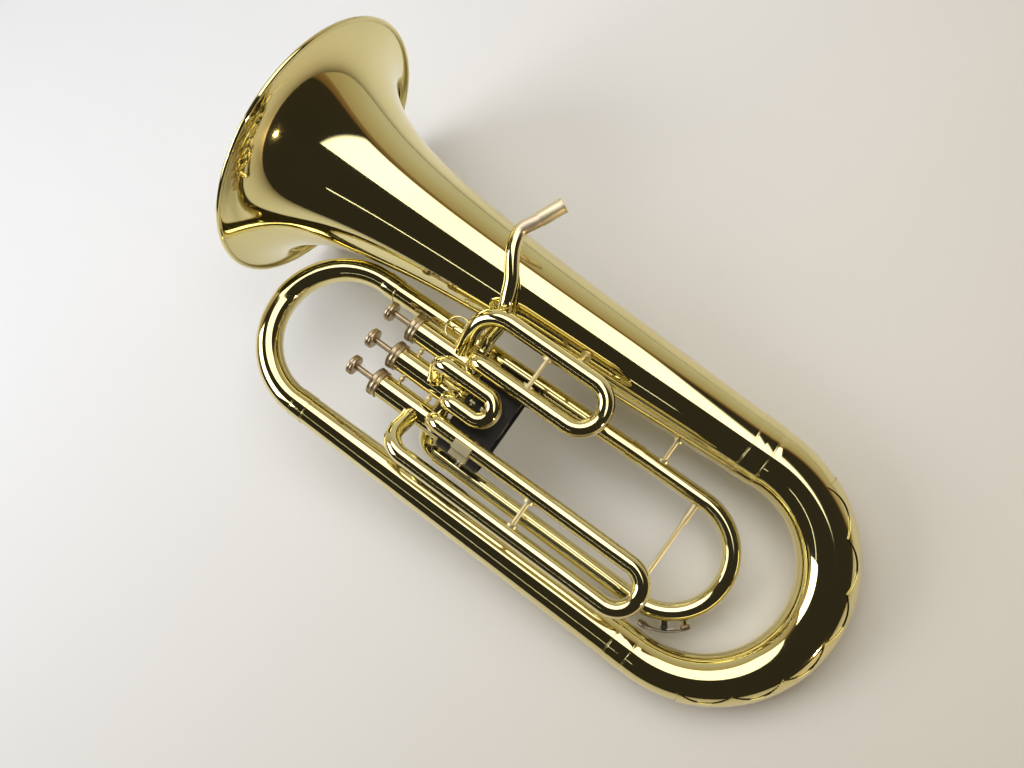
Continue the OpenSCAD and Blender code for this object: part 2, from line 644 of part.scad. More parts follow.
module key_saddle() color(brass) difference() {
    union() {
        on_tuning_bow(nipple_angle) cylinder(h = tuning_r + tuning_sleeve_r + nipple_h, r = nipple_r);
        on_tuning_bow(pivot_angle) for (side = [-1, 1])
            translate([0, side * (key_z_half + 1), 0]) rotate([90, 0, 0]) {
                translate([-2.5, 0, -0.7]) cube([5, pivot_out, 1.4]);
                translate([0, pivot_out, -0.7]) cylinder(h = 1.4, r = 2.5);
            }
    }
    translate(at(tuning_turn_depth, tuning_mid_y, tuning_z)) rotate_extrude($fn = 96)
        translate([tuning_r, 0]) circle(r = tuning_sleeve_r + seat);
    translate(at(tuning_turn_depth, tuning_mid_y, tuning_z)) cylinder(h = 40, r = tuning_r, center = true);
    on_tuning_bow(nipple_angle) cylinder(h = 200, r = nipple_r / 2);
    on_tuning_bow(pivot_angle) translate([0, 0, pivot_out]) rotate([90, 0, 0])
        cylinder(h = 40, r = pivot_d / 2 + seat, center = true);
}

module key_screw() color(nickel) on_tuning_bow(pivot_angle) translate([0, 0, pivot_out]) rotate([90, 0, 0]) {
    translate([0, 0, -key_z_half - 2]) cylinder(h = 2 * key_z_half + 4, r = pivot_d / 2);
    translate([0, 0, key_z_half + 2]) cylinder(h = 1.4, r = pivot_d);
}

cup_out = tuning_r + tuning_sleeve_r + nipple_h + cork_t + key_gap;
module water_key() color(nickel) {
    cup_h = 2;
    cup_lip = 1;
    barrel_r = 2.8;
    finger_turn = 17;
    finger_rise = 3.5;
    difference() {
        union() {
            on_tuning_bow(pivot_angle) translate([0, 0, pivot_out]) rotate([90, 0, 0])
                cylinder(h = 2 * key_z_half, r = barrel_r, center = true);
            translate(at(tuning_turn_depth, tuning_mid_y, tuning_z)) {
                rod(bow_place(pivot_angle, pivot_out), bow_place(nipple_angle, cup_out + cup_h / 2), 1.6);
                finger = bow_place(pivot_angle - finger_turn, pivot_out + finger_rise);
                rod(bow_place(pivot_angle, pivot_out), finger, 1.8);
                translate(finger) sphere(r = 2.5);
            }
            on_tuning_bow(nipple_angle) translate([0, 0, cup_out - cup_lip])
                cylinder(h = cup_h + cup_lip, r = cork_r + 0.8);
        }
        on_tuning_bow(nipple_angle) translate([0, 0, cup_out - cup_lip - cut])
            cylinder(h = cup_lip + cut, r = cork_r + seat);
        on_tuning_bow(pivot_angle) translate([0, 0, pivot_out]) rotate([90, 0, 0])
            cylinder(h = 4 * key_z_half, r = pivot_d / 2 + pivot_fit, center = true);
    }
}
// Place in the plane of the tuning bow, by its angle and its distance from the bow's centre
function bow_place(angle, out) = [-out * sin(angle), out * cos(angle), 0];

module key_cork() color("peru") on_tuning_bow(nipple_angle)
    translate([0, 0, cup_out - cork_t]) cylinder(h = cork_t - seat, r = cork_r);

// Valves

// Ports of each valve as depth and angle: two to the neighbours and two to the slide
function slide_ports(n) =
    n == 1 ? [[first_crook_depth, port_angle(1, first_upper_y, slide_z)],
        [lower_ports, port_angle(1, first_lower_y, slide_z)]] :
    n == 2 ? [[upper_ports, port_angle(2, second_upper_y, slide_z)],
        [lower_ports, port_angle(2, second_lower_y, slide_z)]] :
    [[upper_ports, port_angle(3, third_lower_y, slide_z)],
     [lower_ports, port_angle(3, third_upper_y, slide_z)]];
function cross_ports_of(n) = [[cross_ports, -90], [cross_ports, n == 3 ? outlet_angle : 90]];

module casing(n) color(brass) {
    ports = concat(slide_ports(n), cross_ports_of(n));
    collar = 0.6;
    difference() {
        union() {
            down_valve(n) translate([0, 0, casing_top + seat])
                cylinder(h = casing_bottom - casing_top - 2 * seat, r = casing_r);
            for (p = ports) at_port(n, p[0], p[1]) cylinder(h = port_reach, r = sleeve_r + collar);
        }
        down_valve(n) translate([0, 0, casing_top - cut])
            cylinder(h = casing_bottom - casing_top + 2 * cut, r = casing_ri);
        for (p = ports) at_port(n, p[0], p[1]) cylinder(h = port_reach + cut, r = bore_r);
    }
}
module casing_1() casing(1);
module casing_2() casing(2);
module casing_3() casing(3);

// Cap with its plate at the origin and its skirt along +Z
module cap(d, h, hole_r) {
    r = d / 2;
    bevel = 0.8;
    rotate_extrude() polygon([
        [hole_r, 0], [r - bevel, 0], [r, bevel], [r, h - bevel], [r - bevel, h], [casing_r + seat, h],
        [casing_r + seat, cap_plate], [hole_r, cap_plate]]);
}
module top_caps() color(nickel) for (n = [1:3]) down_valve(n)
    translate([0, 0, valve_top]) cap(top_cap_d, top_cap_h, stem_d / 2 + stem_gap);
module bottom_caps() color(nickel) for (n = [1:3]) down_valve(n)
    translate([0, 0, valve_bottom]) mirror([0, 0, 1]) cap(bottom_cap_d, bottom_cap_h, 2);

module cap_felts() color("darkseagreen") for (n = [1:3]) down_valve(n)
    translate([0, 0, casing_top + seat]) difference() {
        cylinder(h = felt_t, r = casing_ri - 1);
        translate([0, 0, -cut]) cylinder(h = felt_t + 2 * cut, r = stem_d / 2 + stem_gap);
    }

module casing_knuckles() color(brass) for (n = [1, 2])
    pipe(
        at(cross_ports, valve_y(n) + port_reach, valve_z),
        at(cross_ports, valve_y(n + 1) - port_reach, valve_z),
        sleeve_r, bore_r);

// Turned posts that tie neighbouring casings together, in two rows
casing_post_depths = [214, 246];
module casing_posts() color(brass) for (n = [1, 2], depth = casing_post_depths) difference() {
    union() {
        rod(at(depth, valve_y(n), valve_z), at(depth, valve_y(n + 1), valve_z), 1.6);
        translate(at(depth, (valve_y(n) + valve_y(n + 1)) / 2, valve_z)) sphere(r = 2.8);
    }
    for (k = [n, n + 1]) down_valve(k) translate([0, 0, depth - 10]) cylinder(h = 20, r = casing_r + seat);
}

// Air ways through a piston: straight across at rest, and in to the slide and back out when pressed
rest_way_r = 5.2;
pressed_way_r = 3.8;
way_wall = 0.8;
way_turn_r = 5.5;
piston_wall = 1.2;
piston_vent_r = 4;
// Growth of the balls at the corners of the ways
way_ease = 0.2;
// Place in valve n at a port's depth and angle, lifted by the valve's travel where it serves when pressed
function in_valve(n, port, lift, r) =
    at(port[0] - lift, valve_y(n) + r * sin(port[1]), valve_z + r * cos(port[1]));
function rest_way(n) = let (ends = cross_ports_of(n))
    [in_valve(n, ends[0], 0, piston_d), in_valve(n, ends[0], 0, 0), in_valve(n, ends[1], 0, piston_d)];
function pressed_way(n, from, to) = [
    in_valve(n, from, valve_travel, piston_d), in_valve(n, from, valve_travel, way_turn_r),
    in_valve(n, to, valve_travel, way_turn_r), in_valve(n, to, valve_travel, piston_d)];
// Round way along a route, with a ball at each corner
module way(p, r) {
    for (i = [0:len(p) - 2]) rod(p[i], p[i + 1], r);
    for (i = [1:len(p) - 2]) translate(p[i]) sphere(r = r + way_ease);
}
module piston_ways(n, grow) {
    ends = cross_ports_of(n);
    slide = slide_ports(n);
    first = n == 3 ? 1 : 0;
    way(rest_way(n), rest_way_r + grow);
    way(pressed_way(n, ends[0], slide[first]), pressed_way_r + grow);
    way(pressed_way(n, slide[1 - first], ends[1]), pressed_way_r + grow);
}

// Hollow piston with its air ways, a seat for its spring and a vent below
module piston(n) color(nickel) {
    shoulder = piston_top + piston_neck;
    spring_seat = piston_bottom - spring_recess;
    hollow_top = shoulder + piston_wall;
    hollow_bottom = spring_seat - piston_wall;
    difference() {
        down_valve(n) {
            translate([0, 0, piston_top]) cylinder(h = piston_neck + cut, r = piston_d / 2 - 3);
            translate([0, 0, shoulder]) cylinder(h = piston_bottom - shoulder, r = piston_d / 2);
        }
        piston_ways(n, 0);
        difference() {
            down_valve(n) translate([0, 0, hollow_top])
                cylinder(h = hollow_bottom - hollow_top, r = piston_d / 2 - piston_wall);
            piston_ways(n, way_wall);
        }
        down_valve(n) translate([0, 0, piston_top - cut]) cylinder(h = 8 + cut, r = stem_d / 2 - 1 + seat);
        down_valve(n) translate([0, 0, hollow_bottom - cut])
            cylinder(h = piston_wall + 2 * cut, r = piston_vent_r);
        down_valve(n) translate([0, 0, spring_seat])
            cylinder(h = spring_recess + cut, r = spring_d / 2 + spring_gap);
    }
}
module piston_1() piston(1);
module piston_2() piston(2);
module piston_3() piston(3);

button_bottom = valve_top - stem_show;
module stem(n) color(nickel) down_valve(n) {
    translate([0, 0, button_bottom + seat])
        cylinder(h = piston_top - button_bottom - 2 * seat, r = stem_d / 2);
    translate([0, 0, piston_top - 2 * seat]) cylinder(h = 8, r = stem_d / 2 - 1);
}
module stem_1() stem(1);
module stem_2() stem(2);
module stem_3() stem(3);

// Dished finger button on a turned hub
module button(n) color(nickel) down_valve(n) translate([0, 0, button_bottom]) rotate_extrude() polygon([
    [0, -button_t + 1.2], [button_d / 4, -button_t + 0.9], [button_d / 2 - 2, -button_t],
    [button_d / 2 - 0.8, -button_t], [button_d / 2, -button_t + 0.8], [button_d / 2, -2.4],
    [button_d / 2 - 0.8, -1.6], [stem_d / 2 + 1.8, -1.4], [stem_d / 2 + 1.2, 0], [0, 0]]);
module button_1() button(1);
module button_2() button(2);
module button_3() button(3);

// Coil spring between a piston and its bottom cap
spring_recess = 2;
spring_gap = 0.3;
spring_top = piston_bottom - spring_recess + spring_gap;
spring_bottom = casing_bottom - spring_gap;
module valve_spring(n) color("gray") {
    per_turn = 10;
    r = (spring_d - spring_wire) / 2;
    rise = spring_bottom - spring_top - spring_wire;
    last = spring_turns * per_turn;
    swept_bar([for (i = [0:last]) let (t = 360 * i / per_turn)
        at(spring_top + spring_wire / 2 + rise * i / last, valve_y(n) + r * cos(t), valve_z + r * sin(t))],
        [-1, 0, 0], spring_wire / 2, 5);
}
module valve_spring_1() valve_spring(1);
module valve_spring_2() valve_spring(2);
module valve_spring_3() valve_spring(3);

// Valve slides

module first_crook() color(brass) elbow(1, first_crook_depth, first_upper_y, slide_z, first_crook_r);
module first_elbow() color(brass) elbow(1, lower_ports, first_lower_y, slide_z, elbow_r);
module second_elbows() color(brass) {
    elbow(2, upper_ports, second_upper_y, slide_z, elbow_r);
    elbow(2, lower_ports, second_lower_y, slide_z, elbow_r);
}
module third_elbow() color(brass) elbow(3, lower_ports, third_upper_y, slide_z, elbow_r);
module third_crook() color(brass) elbow(3, upper_ports, third_lower_y, slide_z, third_crook_r);

// Pair of sleeves from depths tops to a common end
module sleeves(ys, tops, end) for (k = [0, 1])
    pipe(at(tops[k], ys[k], slide_z), at(end, ys[k], slide_z), sleeve_r, sleeve_ri);
module first_sleeves() color(brass) sleeves([first_upper_y, first_lower_y],
    [first_crook_depth + first_crook_r, lower_ports + elbow_r], first_sleeve_depth);
module second_sleeves() color(brass) sleeves([second_upper_y, second_lower_y],
    [upper_ports + elbow_r, lower_ports + elbow_r], second_sleeve_depth);
module third_sleeves() color(brass) sleeves([third_upper_y, third_lower_y],
    [lower_ports + elbow_r, upper_ports + third_crook_r], third_sleeve_depth);

module first_slide() color(brass) slide_tube([first_upper_y, first_lower_y], slide_z, first_sleeve_depth,
    first_bow_lead, [first_leg_depth, first_leg_depth], leg_r, sleeve_r, bore_r);
module second_slide() color(brass) slide_tube([second_upper_y, second_lower_y], slide_z, second_sleeve_depth,
    second_bow_lead, [second_sleeve_depth - second_leg, second_sleeve_depth - second_leg],
    leg_r, sleeve_r, bore_r);
module third_slide() color(brass) slide_tube([third_upper_y, third_lower_y], slide_z, third_sleeve_depth,
    third_bow_lead, [third_leg_depth, third_leg_depth], leg_r, sleeve_r, bore_r);

// Braces

// Rod between two points with a round foot at each end
module brace_rod(p, q) {
    d = unit(q - p);
    foot = 1.4;
    rod(p, q, brace_d / 2);
    rod(p, p + (foot + brace_sink) * d, brace_foot_d / 2);
    rod(q - (foot + brace_sink) * d, q, brace_foot_d / 2);
}
// Depth that a brace's foot reaches into the tube that it is cut to fit
brace_sink = 3;
// Depths of the braces between sleeves, and of those to the bell
first_brace_depth = 322;
third_brace_depth = 381;
first_bell_brace_depth = 346;
tuning_bell_brace_depth = 458;
module sleeve_braces() color(brass) {
    for (b = [
        [first_brace_depth, first_upper_y, first_lower_y],
        [third_brace_depth, third_upper_y, third_lower_y]])
        difference() {
            inset = sleeve_r - brace_sink;
            brace_rod(at(b[0], b[1] + inset, slide_z), at(b[0], b[2] - inset, slide_z));
            for (y = [b[1], b[2]])
                rod(at(b[0] - brace_foot_d, y, slide_z), at(b[0] + brace_foot_d, y, slide_z),
                    sleeve_r + seat);
        }
}

// Solid of the bell's outside, to cut the feet of braces to fit
module bell_solid(gap) down_bell() rotate_extrude($fn = 128) polygon(concat(
    [[0, lip_depth], [0, bell_depth]],
    [for (i = [bell_steps:-1:0]) [bell_r(bell_depths[i]) + gap, bell_depths[i]]]));
// Brace from the bell's axis line at a depth to a tube of radius r that runs along the horn at y and z
module bell_brace(depth, y, z, r) {
    u = unit([0, y, z]);
    reach = norm([y, z]);
    difference() {
        brace_rod(
            at(depth, 0, 0) + (bell_r(depth) - brace_sink) * u,
            at(depth, 0, 0) + (reach - r + brace_sink) * u);
        bell_solid(seat);
        rod(at(depth - brace_foot_d, y, z), at(depth + brace_foot_d, y, z), r + seat);
    }
}
module bell_braces() color(brass) {
    bell_brace(first_bell_brace_depth, first_upper_y, slide_z, sleeve_r);
    bell_brace(tuning_bell_brace_depth, tuning_upper_y, tuning_z, tuning_sleeve_r);
    lead_post();
}

// Leadpipe

lead_small_r = lead_small_d / 2;
lead_large_r = lead_large_d / 2;
// Place beside the bell at a depth and an angle from the front, clear of the bell by the leadpipe's gap
function beside_bell(depth, angle) =
    let (r = bell_r(depth) + lead_gap + lead_large_r - 0.6) at(depth, r * sin(angle), r * cos(angle));
// Room at the leadpipe's ends, where its curve leans a little
lead_slack = 0.3;
lead_end = at(cross_ports, valve_y(1) - port_reach - lead_slack, valve_z);
receiver_seat = at(receiver_depth, -receiver_side, receiver_front);
lead_bend = at(lead_bend_depth, -lead_bend_side, lead_bend_front);
receiver_axis = unit([-9.8, -20, 1.6]);
lead_steps = 3;
// Straight length at each end of the leadpipe
lead_lead = 8;
// Place in the route where the leadpipe stands on its post
lead_post_stop = 5;
// Depths and angles at which the leadpipe runs round the bell
lead_stops = [[253.5, 6], [260, 27], [264, 50]];
lead_route = concat(
    [for (run = [0, 0.5, 1] * lead_lead) receiver_seat - run * receiver_axis],
    [lead_bend, lead_bend + [-2, 13, -0.5], lead_bend + [-8.5, 26.5, -1]],
    [for (s = lead_stops) beside_bell(s[0], s[1])],
    [lead_end - [-1.5, 21, -3.5]],
    [for (run = [1, 0.5, 0] * lead_lead) lead_end - [0, run, 0]]);
lead_path = curve(lead_route, lead_steps);
lead_dirs = path_dirs(lead_path);
lead_radii = even_radii(lead_path, lead_small_r, lead_large_r);
module leadpipe() color(brass) swept_wall(lead_path, lead_dirs, [1, 0, 0], lead_radii, lead_wall, 20);

// Receiver that the mouthpiece's shank goes into
module receiver() color(nickel) toward(receiver_seat, receiver_axis) difference() {
    socket = 5;
    bead = 1.2;
    union() {
        translate([0, 0, -socket]) cylinder(h = receiver_l, r = receiver_d / 2);
        translate([0, 0, receiver_l - socket - bead]) rotate_extrude()
            translate([receiver_d / 2 - 0.4, 0]) circle(r = bead, $fn = 32);
    }
    translate([0, 0, -socket - cut]) cylinder(h = socket + cut + lead_slack, r = lead_small_r + lead_slack);
    translate([0, 0, -cut]) cylinder(h = receiver_l + cut, r = receiver_bore_d / 2 - 1.4);
    translate([0, 0, 2]) cylinder(h = receiver_l + cut, r = receiver_bore_d / 2);
}

// Short post that carries the leadpipe on the bell
module lead_post() difference() {
    i = lead_post_stop * lead_steps;
    p = lead_path[i];
    depth = -p[0];
    u = unit([0, p[1], p[2]]);
    foot = at(depth, 0, 0) + (bell_r(depth) - brace_sink) * u;
    union() {
        rod(foot, p, brace_d / 2);
        rod(foot, foot + (brace_sink + 1.2) * u, lead_small_r);
    }
    bell_solid(seat);
    rod(p - brace_foot_d * lead_dirs[i], p + brace_foot_d * lead_dirs[i], lead_radii[i] + lead_slack / 2);
}

// Fittings

// Ring for the right thumb, on a short post on the inner branch
ring_depth = 228;
ring_stand = 11;
module thumb_ring() color(brass) {
    t = (ring_depth - top_bow_end) / (tuning_sleeve_top - top_bow_end);
    axis = mix(inner_top, inner_bottom, t);
    tube_r = mix(top_bow_small_r, tuning_sleeve_r, t);
    z = axis[2] + tube_r + ring_stand + ring_wire / 2;
    centre = at(ring_depth, axis[1] - 1, z);
    difference() {
        union() {
            translate(centre) rotate_extrude() translate([ring_r, 0]) circle(d = ring_wire, $fn = 24);
            for (side = [-1, 1]) translate(centre + [side * ring_r, 0, 0])
                mirror([0, 0, 1]) cylinder(h = z - axis[2], d = ring_wire);
        }
        toward(inner_top, inner_bottom - inner_top) cylinder(h = norm(inner_bottom - inner_top),
            r1 = top_bow_small_r + seat, r2 = tuning_sleeve_r + seat);
    }
}

// Square socket for a music lyre, on a flat-topped saddle on the third slide's upper sleeve
lyre_depth = 306;
lyre_y = third_upper_y + sleeve_r + lyre_w / 2 - 0.6;
lyre_z = slide_z - 3;
lyre_screw_place = at(lyre_depth + 4.5, lyre_y, lyre_z);
boss_h = 1.2;
module lyre_socket() color(brass) difference() {
    saddle_h = sleeve_r + 0.9;
    union() {
        translate(at(lyre_depth, lyre_y, lyre_z)) cube([lyre_l, lyre_w, lyre_w], center = true);
        translate(at(lyre_depth + lyre_l / 2, third_upper_y + 0.4, slide_z))
            cube([lyre_l, sleeve_r, saddle_h]);
        translate(lyre_screw_place) rotate([-90, 0, 0]) cylinder(h = lyre_w / 2 + boss_h, r = lyre_screw_d);
    }
    rod(at(lyre_depth - lyre_l, third_upper_y, slide_z), at(lyre_depth + lyre_l, third_upper_y, slide_z),
        sleeve_r + seat);
    translate(at(lyre_depth, lyre_y, lyre_z)) cube([lyre_l + 2 * cut, lyre_hole, lyre_hole], center = true);
    translate(lyre_screw_place) rotate([-90, 0, 0]) cylinder(h = lyre_w, r = lyre_screw_d / 2 + pivot_fit);
}
module lyre_screw() color(nickel) translate(lyre_screw_place) rotate([-90, 0, 0]) {
    tip = lyre_hole / 2 + 0.2;
    head = lyre_w / 2 + boss_h + 0.4;
    head_h = 3.2;
    translate([0, 0, tip]) cylinder(h = head - tip + cut, r = lyre_screw_d / 2);
    translate([0, 0, head]) cylinder(h = head_h, r = lyre_screw_d / 2 + 1.3);
}

// Leather guard wrapped round the valve casings
hand_guard_ri = bottom_cap_d / 2 + 0.3;
hand_guard_bottom = valve_bottom - 0.5;
module guard_outline(r) {
    for (n = [1, 3]) translate([0, valve_y(n)]) circle(r = r);
    translate([-r, valve_y(1)]) square([2 * r, valve_y(3) - valve_y(1)]);
}
module hand_guard() color(black) translate([0, 0, valve_z]) rotate([0, -90, 0])
    translate([0, 0, hand_guard_bottom - hand_guard_h]) difference() {
        linear_extrude(hand_guard_h) guard_outline(hand_guard_ri + leather_t);
        translate([0, 0, -cut]) linear_extrude(hand_guard_h + 2 * cut) guard_outline(hand_guard_ri);
    }
// Domed press studs that close the guard at the front
snap_r = 3.4;
snap_sink = 2;
snap_front = valve_z + hand_guard_ri + leather_t + seat;
module guard_snaps() color(nickel) for (t = [1, 3, 5] / 6)
    translate(at(hand_guard_bottom - t * hand_guard_h, (valve_y(1) + valve_y(2)) / 2, snap_front))
        intersection() {
            translate([0, 0, -snap_sink]) sphere(r = snap_r);
            cylinder(h = snap_r, r = snap_r);
        }

// Lying on a table

// Row frame directions are turned back into the horn frame to measure how far the horn reaches
function unroll(d, pitch) =
    let (x = d[0] * cos(pitch) + d[2] * sin(pitch), z = -d[0] * sin(pitch) + d[2] * cos(pitch))
    [x, d[1] * cos(lie_roll) - z * sin(lie_roll), d[1] * sin(lie_roll) + z * cos(lie_roll)];
function bow_reach(d) = max([for (i = [0:len(bow_path) - 1]) bow_path[i] * d + bow_radii[i]]);
function rim_reach(d) =
    -lip_depth * d[0] + (mouth_r - rim_d / 2) * norm([d[1], d[2]]) + rim_d / 2;
// Pitch at which the rim and the bow both touch the table
function lie_pitch_between(low, high, steps) =
    let (pitch = (low + high) / 2, d = unroll([0, 0, -1], pitch))
    steps == 0 ? pitch :
    bow_reach(d) > rim_reach(d) ? lie_pitch_between(low, pitch, steps - 1) :
    lie_pitch_between(pitch, high, steps - 1);
lie_pitch = lie_pitch_between(0, 20, 30);
function reach(d) = let (u = unroll(d, lie_pitch)) max(bow_reach(u), rim_reach(u));
lie_shift = [
    (reach([-1, 0, 0]) - reach([1, 0, 0])) / 2,
    (reach([0, -1, 0]) - reach([0, 1, 0])) / 2,
    reach([0, 0, -1])];
module lay_down() translate(lie_shift) rotate([-lie_roll, -lie_pitch, 0]) children();

lay_down() bell();
lay_down() rim_wire();
lay_down() bell_ferrule();
lay_down() bottom_bow();
lay_down() bow_guard();
lay_down() branch_ferrule();
lay_down() outer_branch();
lay_down() top_bow_ferrules();
lay_down() top_bow();
lay_down() inner_branch();
lay_down() tuning_sleeves();
lay_down() sleeve_ferrules();
lay_down() outlet_elbow();
lay_down() casing_1();
lay_down() casing_2();
lay_down() casing_3();
lay_down() top_caps();
lay_down() bottom_caps();
lay_down() cap_felts();
lay_down() casing_knuckles();
lay_down() casing_posts();
lay_down() first_crook();
lay_down() first_elbow();
lay_down() second_elbows();
lay_down() third_elbow();
lay_down() third_crook();
lay_down() first_sleeves();
lay_down() second_sleeves();
lay_down() third_sleeves();
lay_down() sleeve_braces();
lay_down() bell_braces();
lay_down() leadpipe();
lay_down() receiver();
lay_down() thumb_ring();
lay_down() lyre_socket();
lay_down() lyre_screw();
lay_down() hand_guard();
lay_down() guard_snaps();
lay_down() piston_1();
lay_down() piston_2();
lay_down() piston_3();
lay_down() stem_1();
lay_down() stem_2();
lay_down() stem_3();
lay_down() button_1();
lay_down() button_2();
lay_down() button_3();
lay_down() valve_spring_1();
lay_down() valve_spring_2();
lay_down() valve_spring_3();
lay_down() first_slide();
lay_down() second_slide();
lay_down() third_slide();
lay_down() tuning_slide();
lay_down() pull_rod();
lay_down() key_saddle();
lay_down() key_screw();
lay_down() water_key();
lay_down() key_cork();
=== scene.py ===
"""Dresses a three-valve euphonium that lies on its back on a pale table.

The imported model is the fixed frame. Pieces whose curves need finer surfaces or finer detail than the
frame has are modelled again here and stand for their nodes, and every node that stays in view gets the
finish of its material. Sizes are in metres. Shapes are made in the horn's own frame: X is the bell's
axis, with the mouth at zero and the tubing towards -X, +Y runs from the bell to the outer branch, and
+Z is the front, where the valve slides are. A depth is a distance from the mouth towards -X.
"""

from __future__ import annotations

import json
import logging
import math
from dataclasses import dataclass, field
from enum import Enum
from functools import cache
from typing import Sequence

import bmesh
import bpy
from mathutils import Matrix, Vector, noise

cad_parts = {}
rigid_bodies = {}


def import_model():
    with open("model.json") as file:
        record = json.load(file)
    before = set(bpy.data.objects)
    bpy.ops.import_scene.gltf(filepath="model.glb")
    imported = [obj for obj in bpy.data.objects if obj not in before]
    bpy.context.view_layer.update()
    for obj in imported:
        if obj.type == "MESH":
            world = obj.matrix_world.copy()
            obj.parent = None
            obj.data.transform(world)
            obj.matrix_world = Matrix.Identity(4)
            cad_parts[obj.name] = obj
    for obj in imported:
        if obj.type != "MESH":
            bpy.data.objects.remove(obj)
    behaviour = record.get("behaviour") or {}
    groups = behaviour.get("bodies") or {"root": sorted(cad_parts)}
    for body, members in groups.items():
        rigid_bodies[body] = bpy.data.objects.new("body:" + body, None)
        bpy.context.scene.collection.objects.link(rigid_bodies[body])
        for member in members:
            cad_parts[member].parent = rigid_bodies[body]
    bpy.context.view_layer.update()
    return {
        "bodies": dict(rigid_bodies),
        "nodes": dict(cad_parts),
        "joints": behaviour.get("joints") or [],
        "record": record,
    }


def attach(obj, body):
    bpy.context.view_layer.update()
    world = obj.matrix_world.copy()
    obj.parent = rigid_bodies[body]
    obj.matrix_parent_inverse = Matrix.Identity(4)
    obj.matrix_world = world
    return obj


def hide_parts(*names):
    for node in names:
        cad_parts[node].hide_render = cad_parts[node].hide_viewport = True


log = logging.getLogger("euphonium")

Colour = tuple[float, float, float]
Offset = tuple[float, float, float]
Profile = Sequence[tuple[float, float]]
Shape = bmesh.types.BMesh
Socket = bpy.types.NodeSocket
Walk = list[tuple[Vector, Vector]]

SHARP_ANGLE = math.radians(38)
MERGE = 1e-7
CORNER_SHARE = 0.45
ORIGIN = (0.0, 0.0, 0.0)


class Slot(Enum):
    """The record's material slots."""

    BRASS = "lacquered_brass"
    NICKEL = "nickel_silver"
    PLATE = "nickel_plate"
    STEEL = "spring_steel"
    CORK = "cork"
    FELT = "felt"
    LEATHER = "leather"


class Body(Enum):
    """The bodies of the frame that pieces ride on."""

    HORN = "horn"
    VALVE_1 = "valve_1"
    VALVE_2 = "valve_2"
    VALVE_3 = "valve_3"
    WATER_KEY = "water_key"


VALVE_BODIES = (Body.VALVE_1, Body.VALVE_2, Body.VALVE_3)


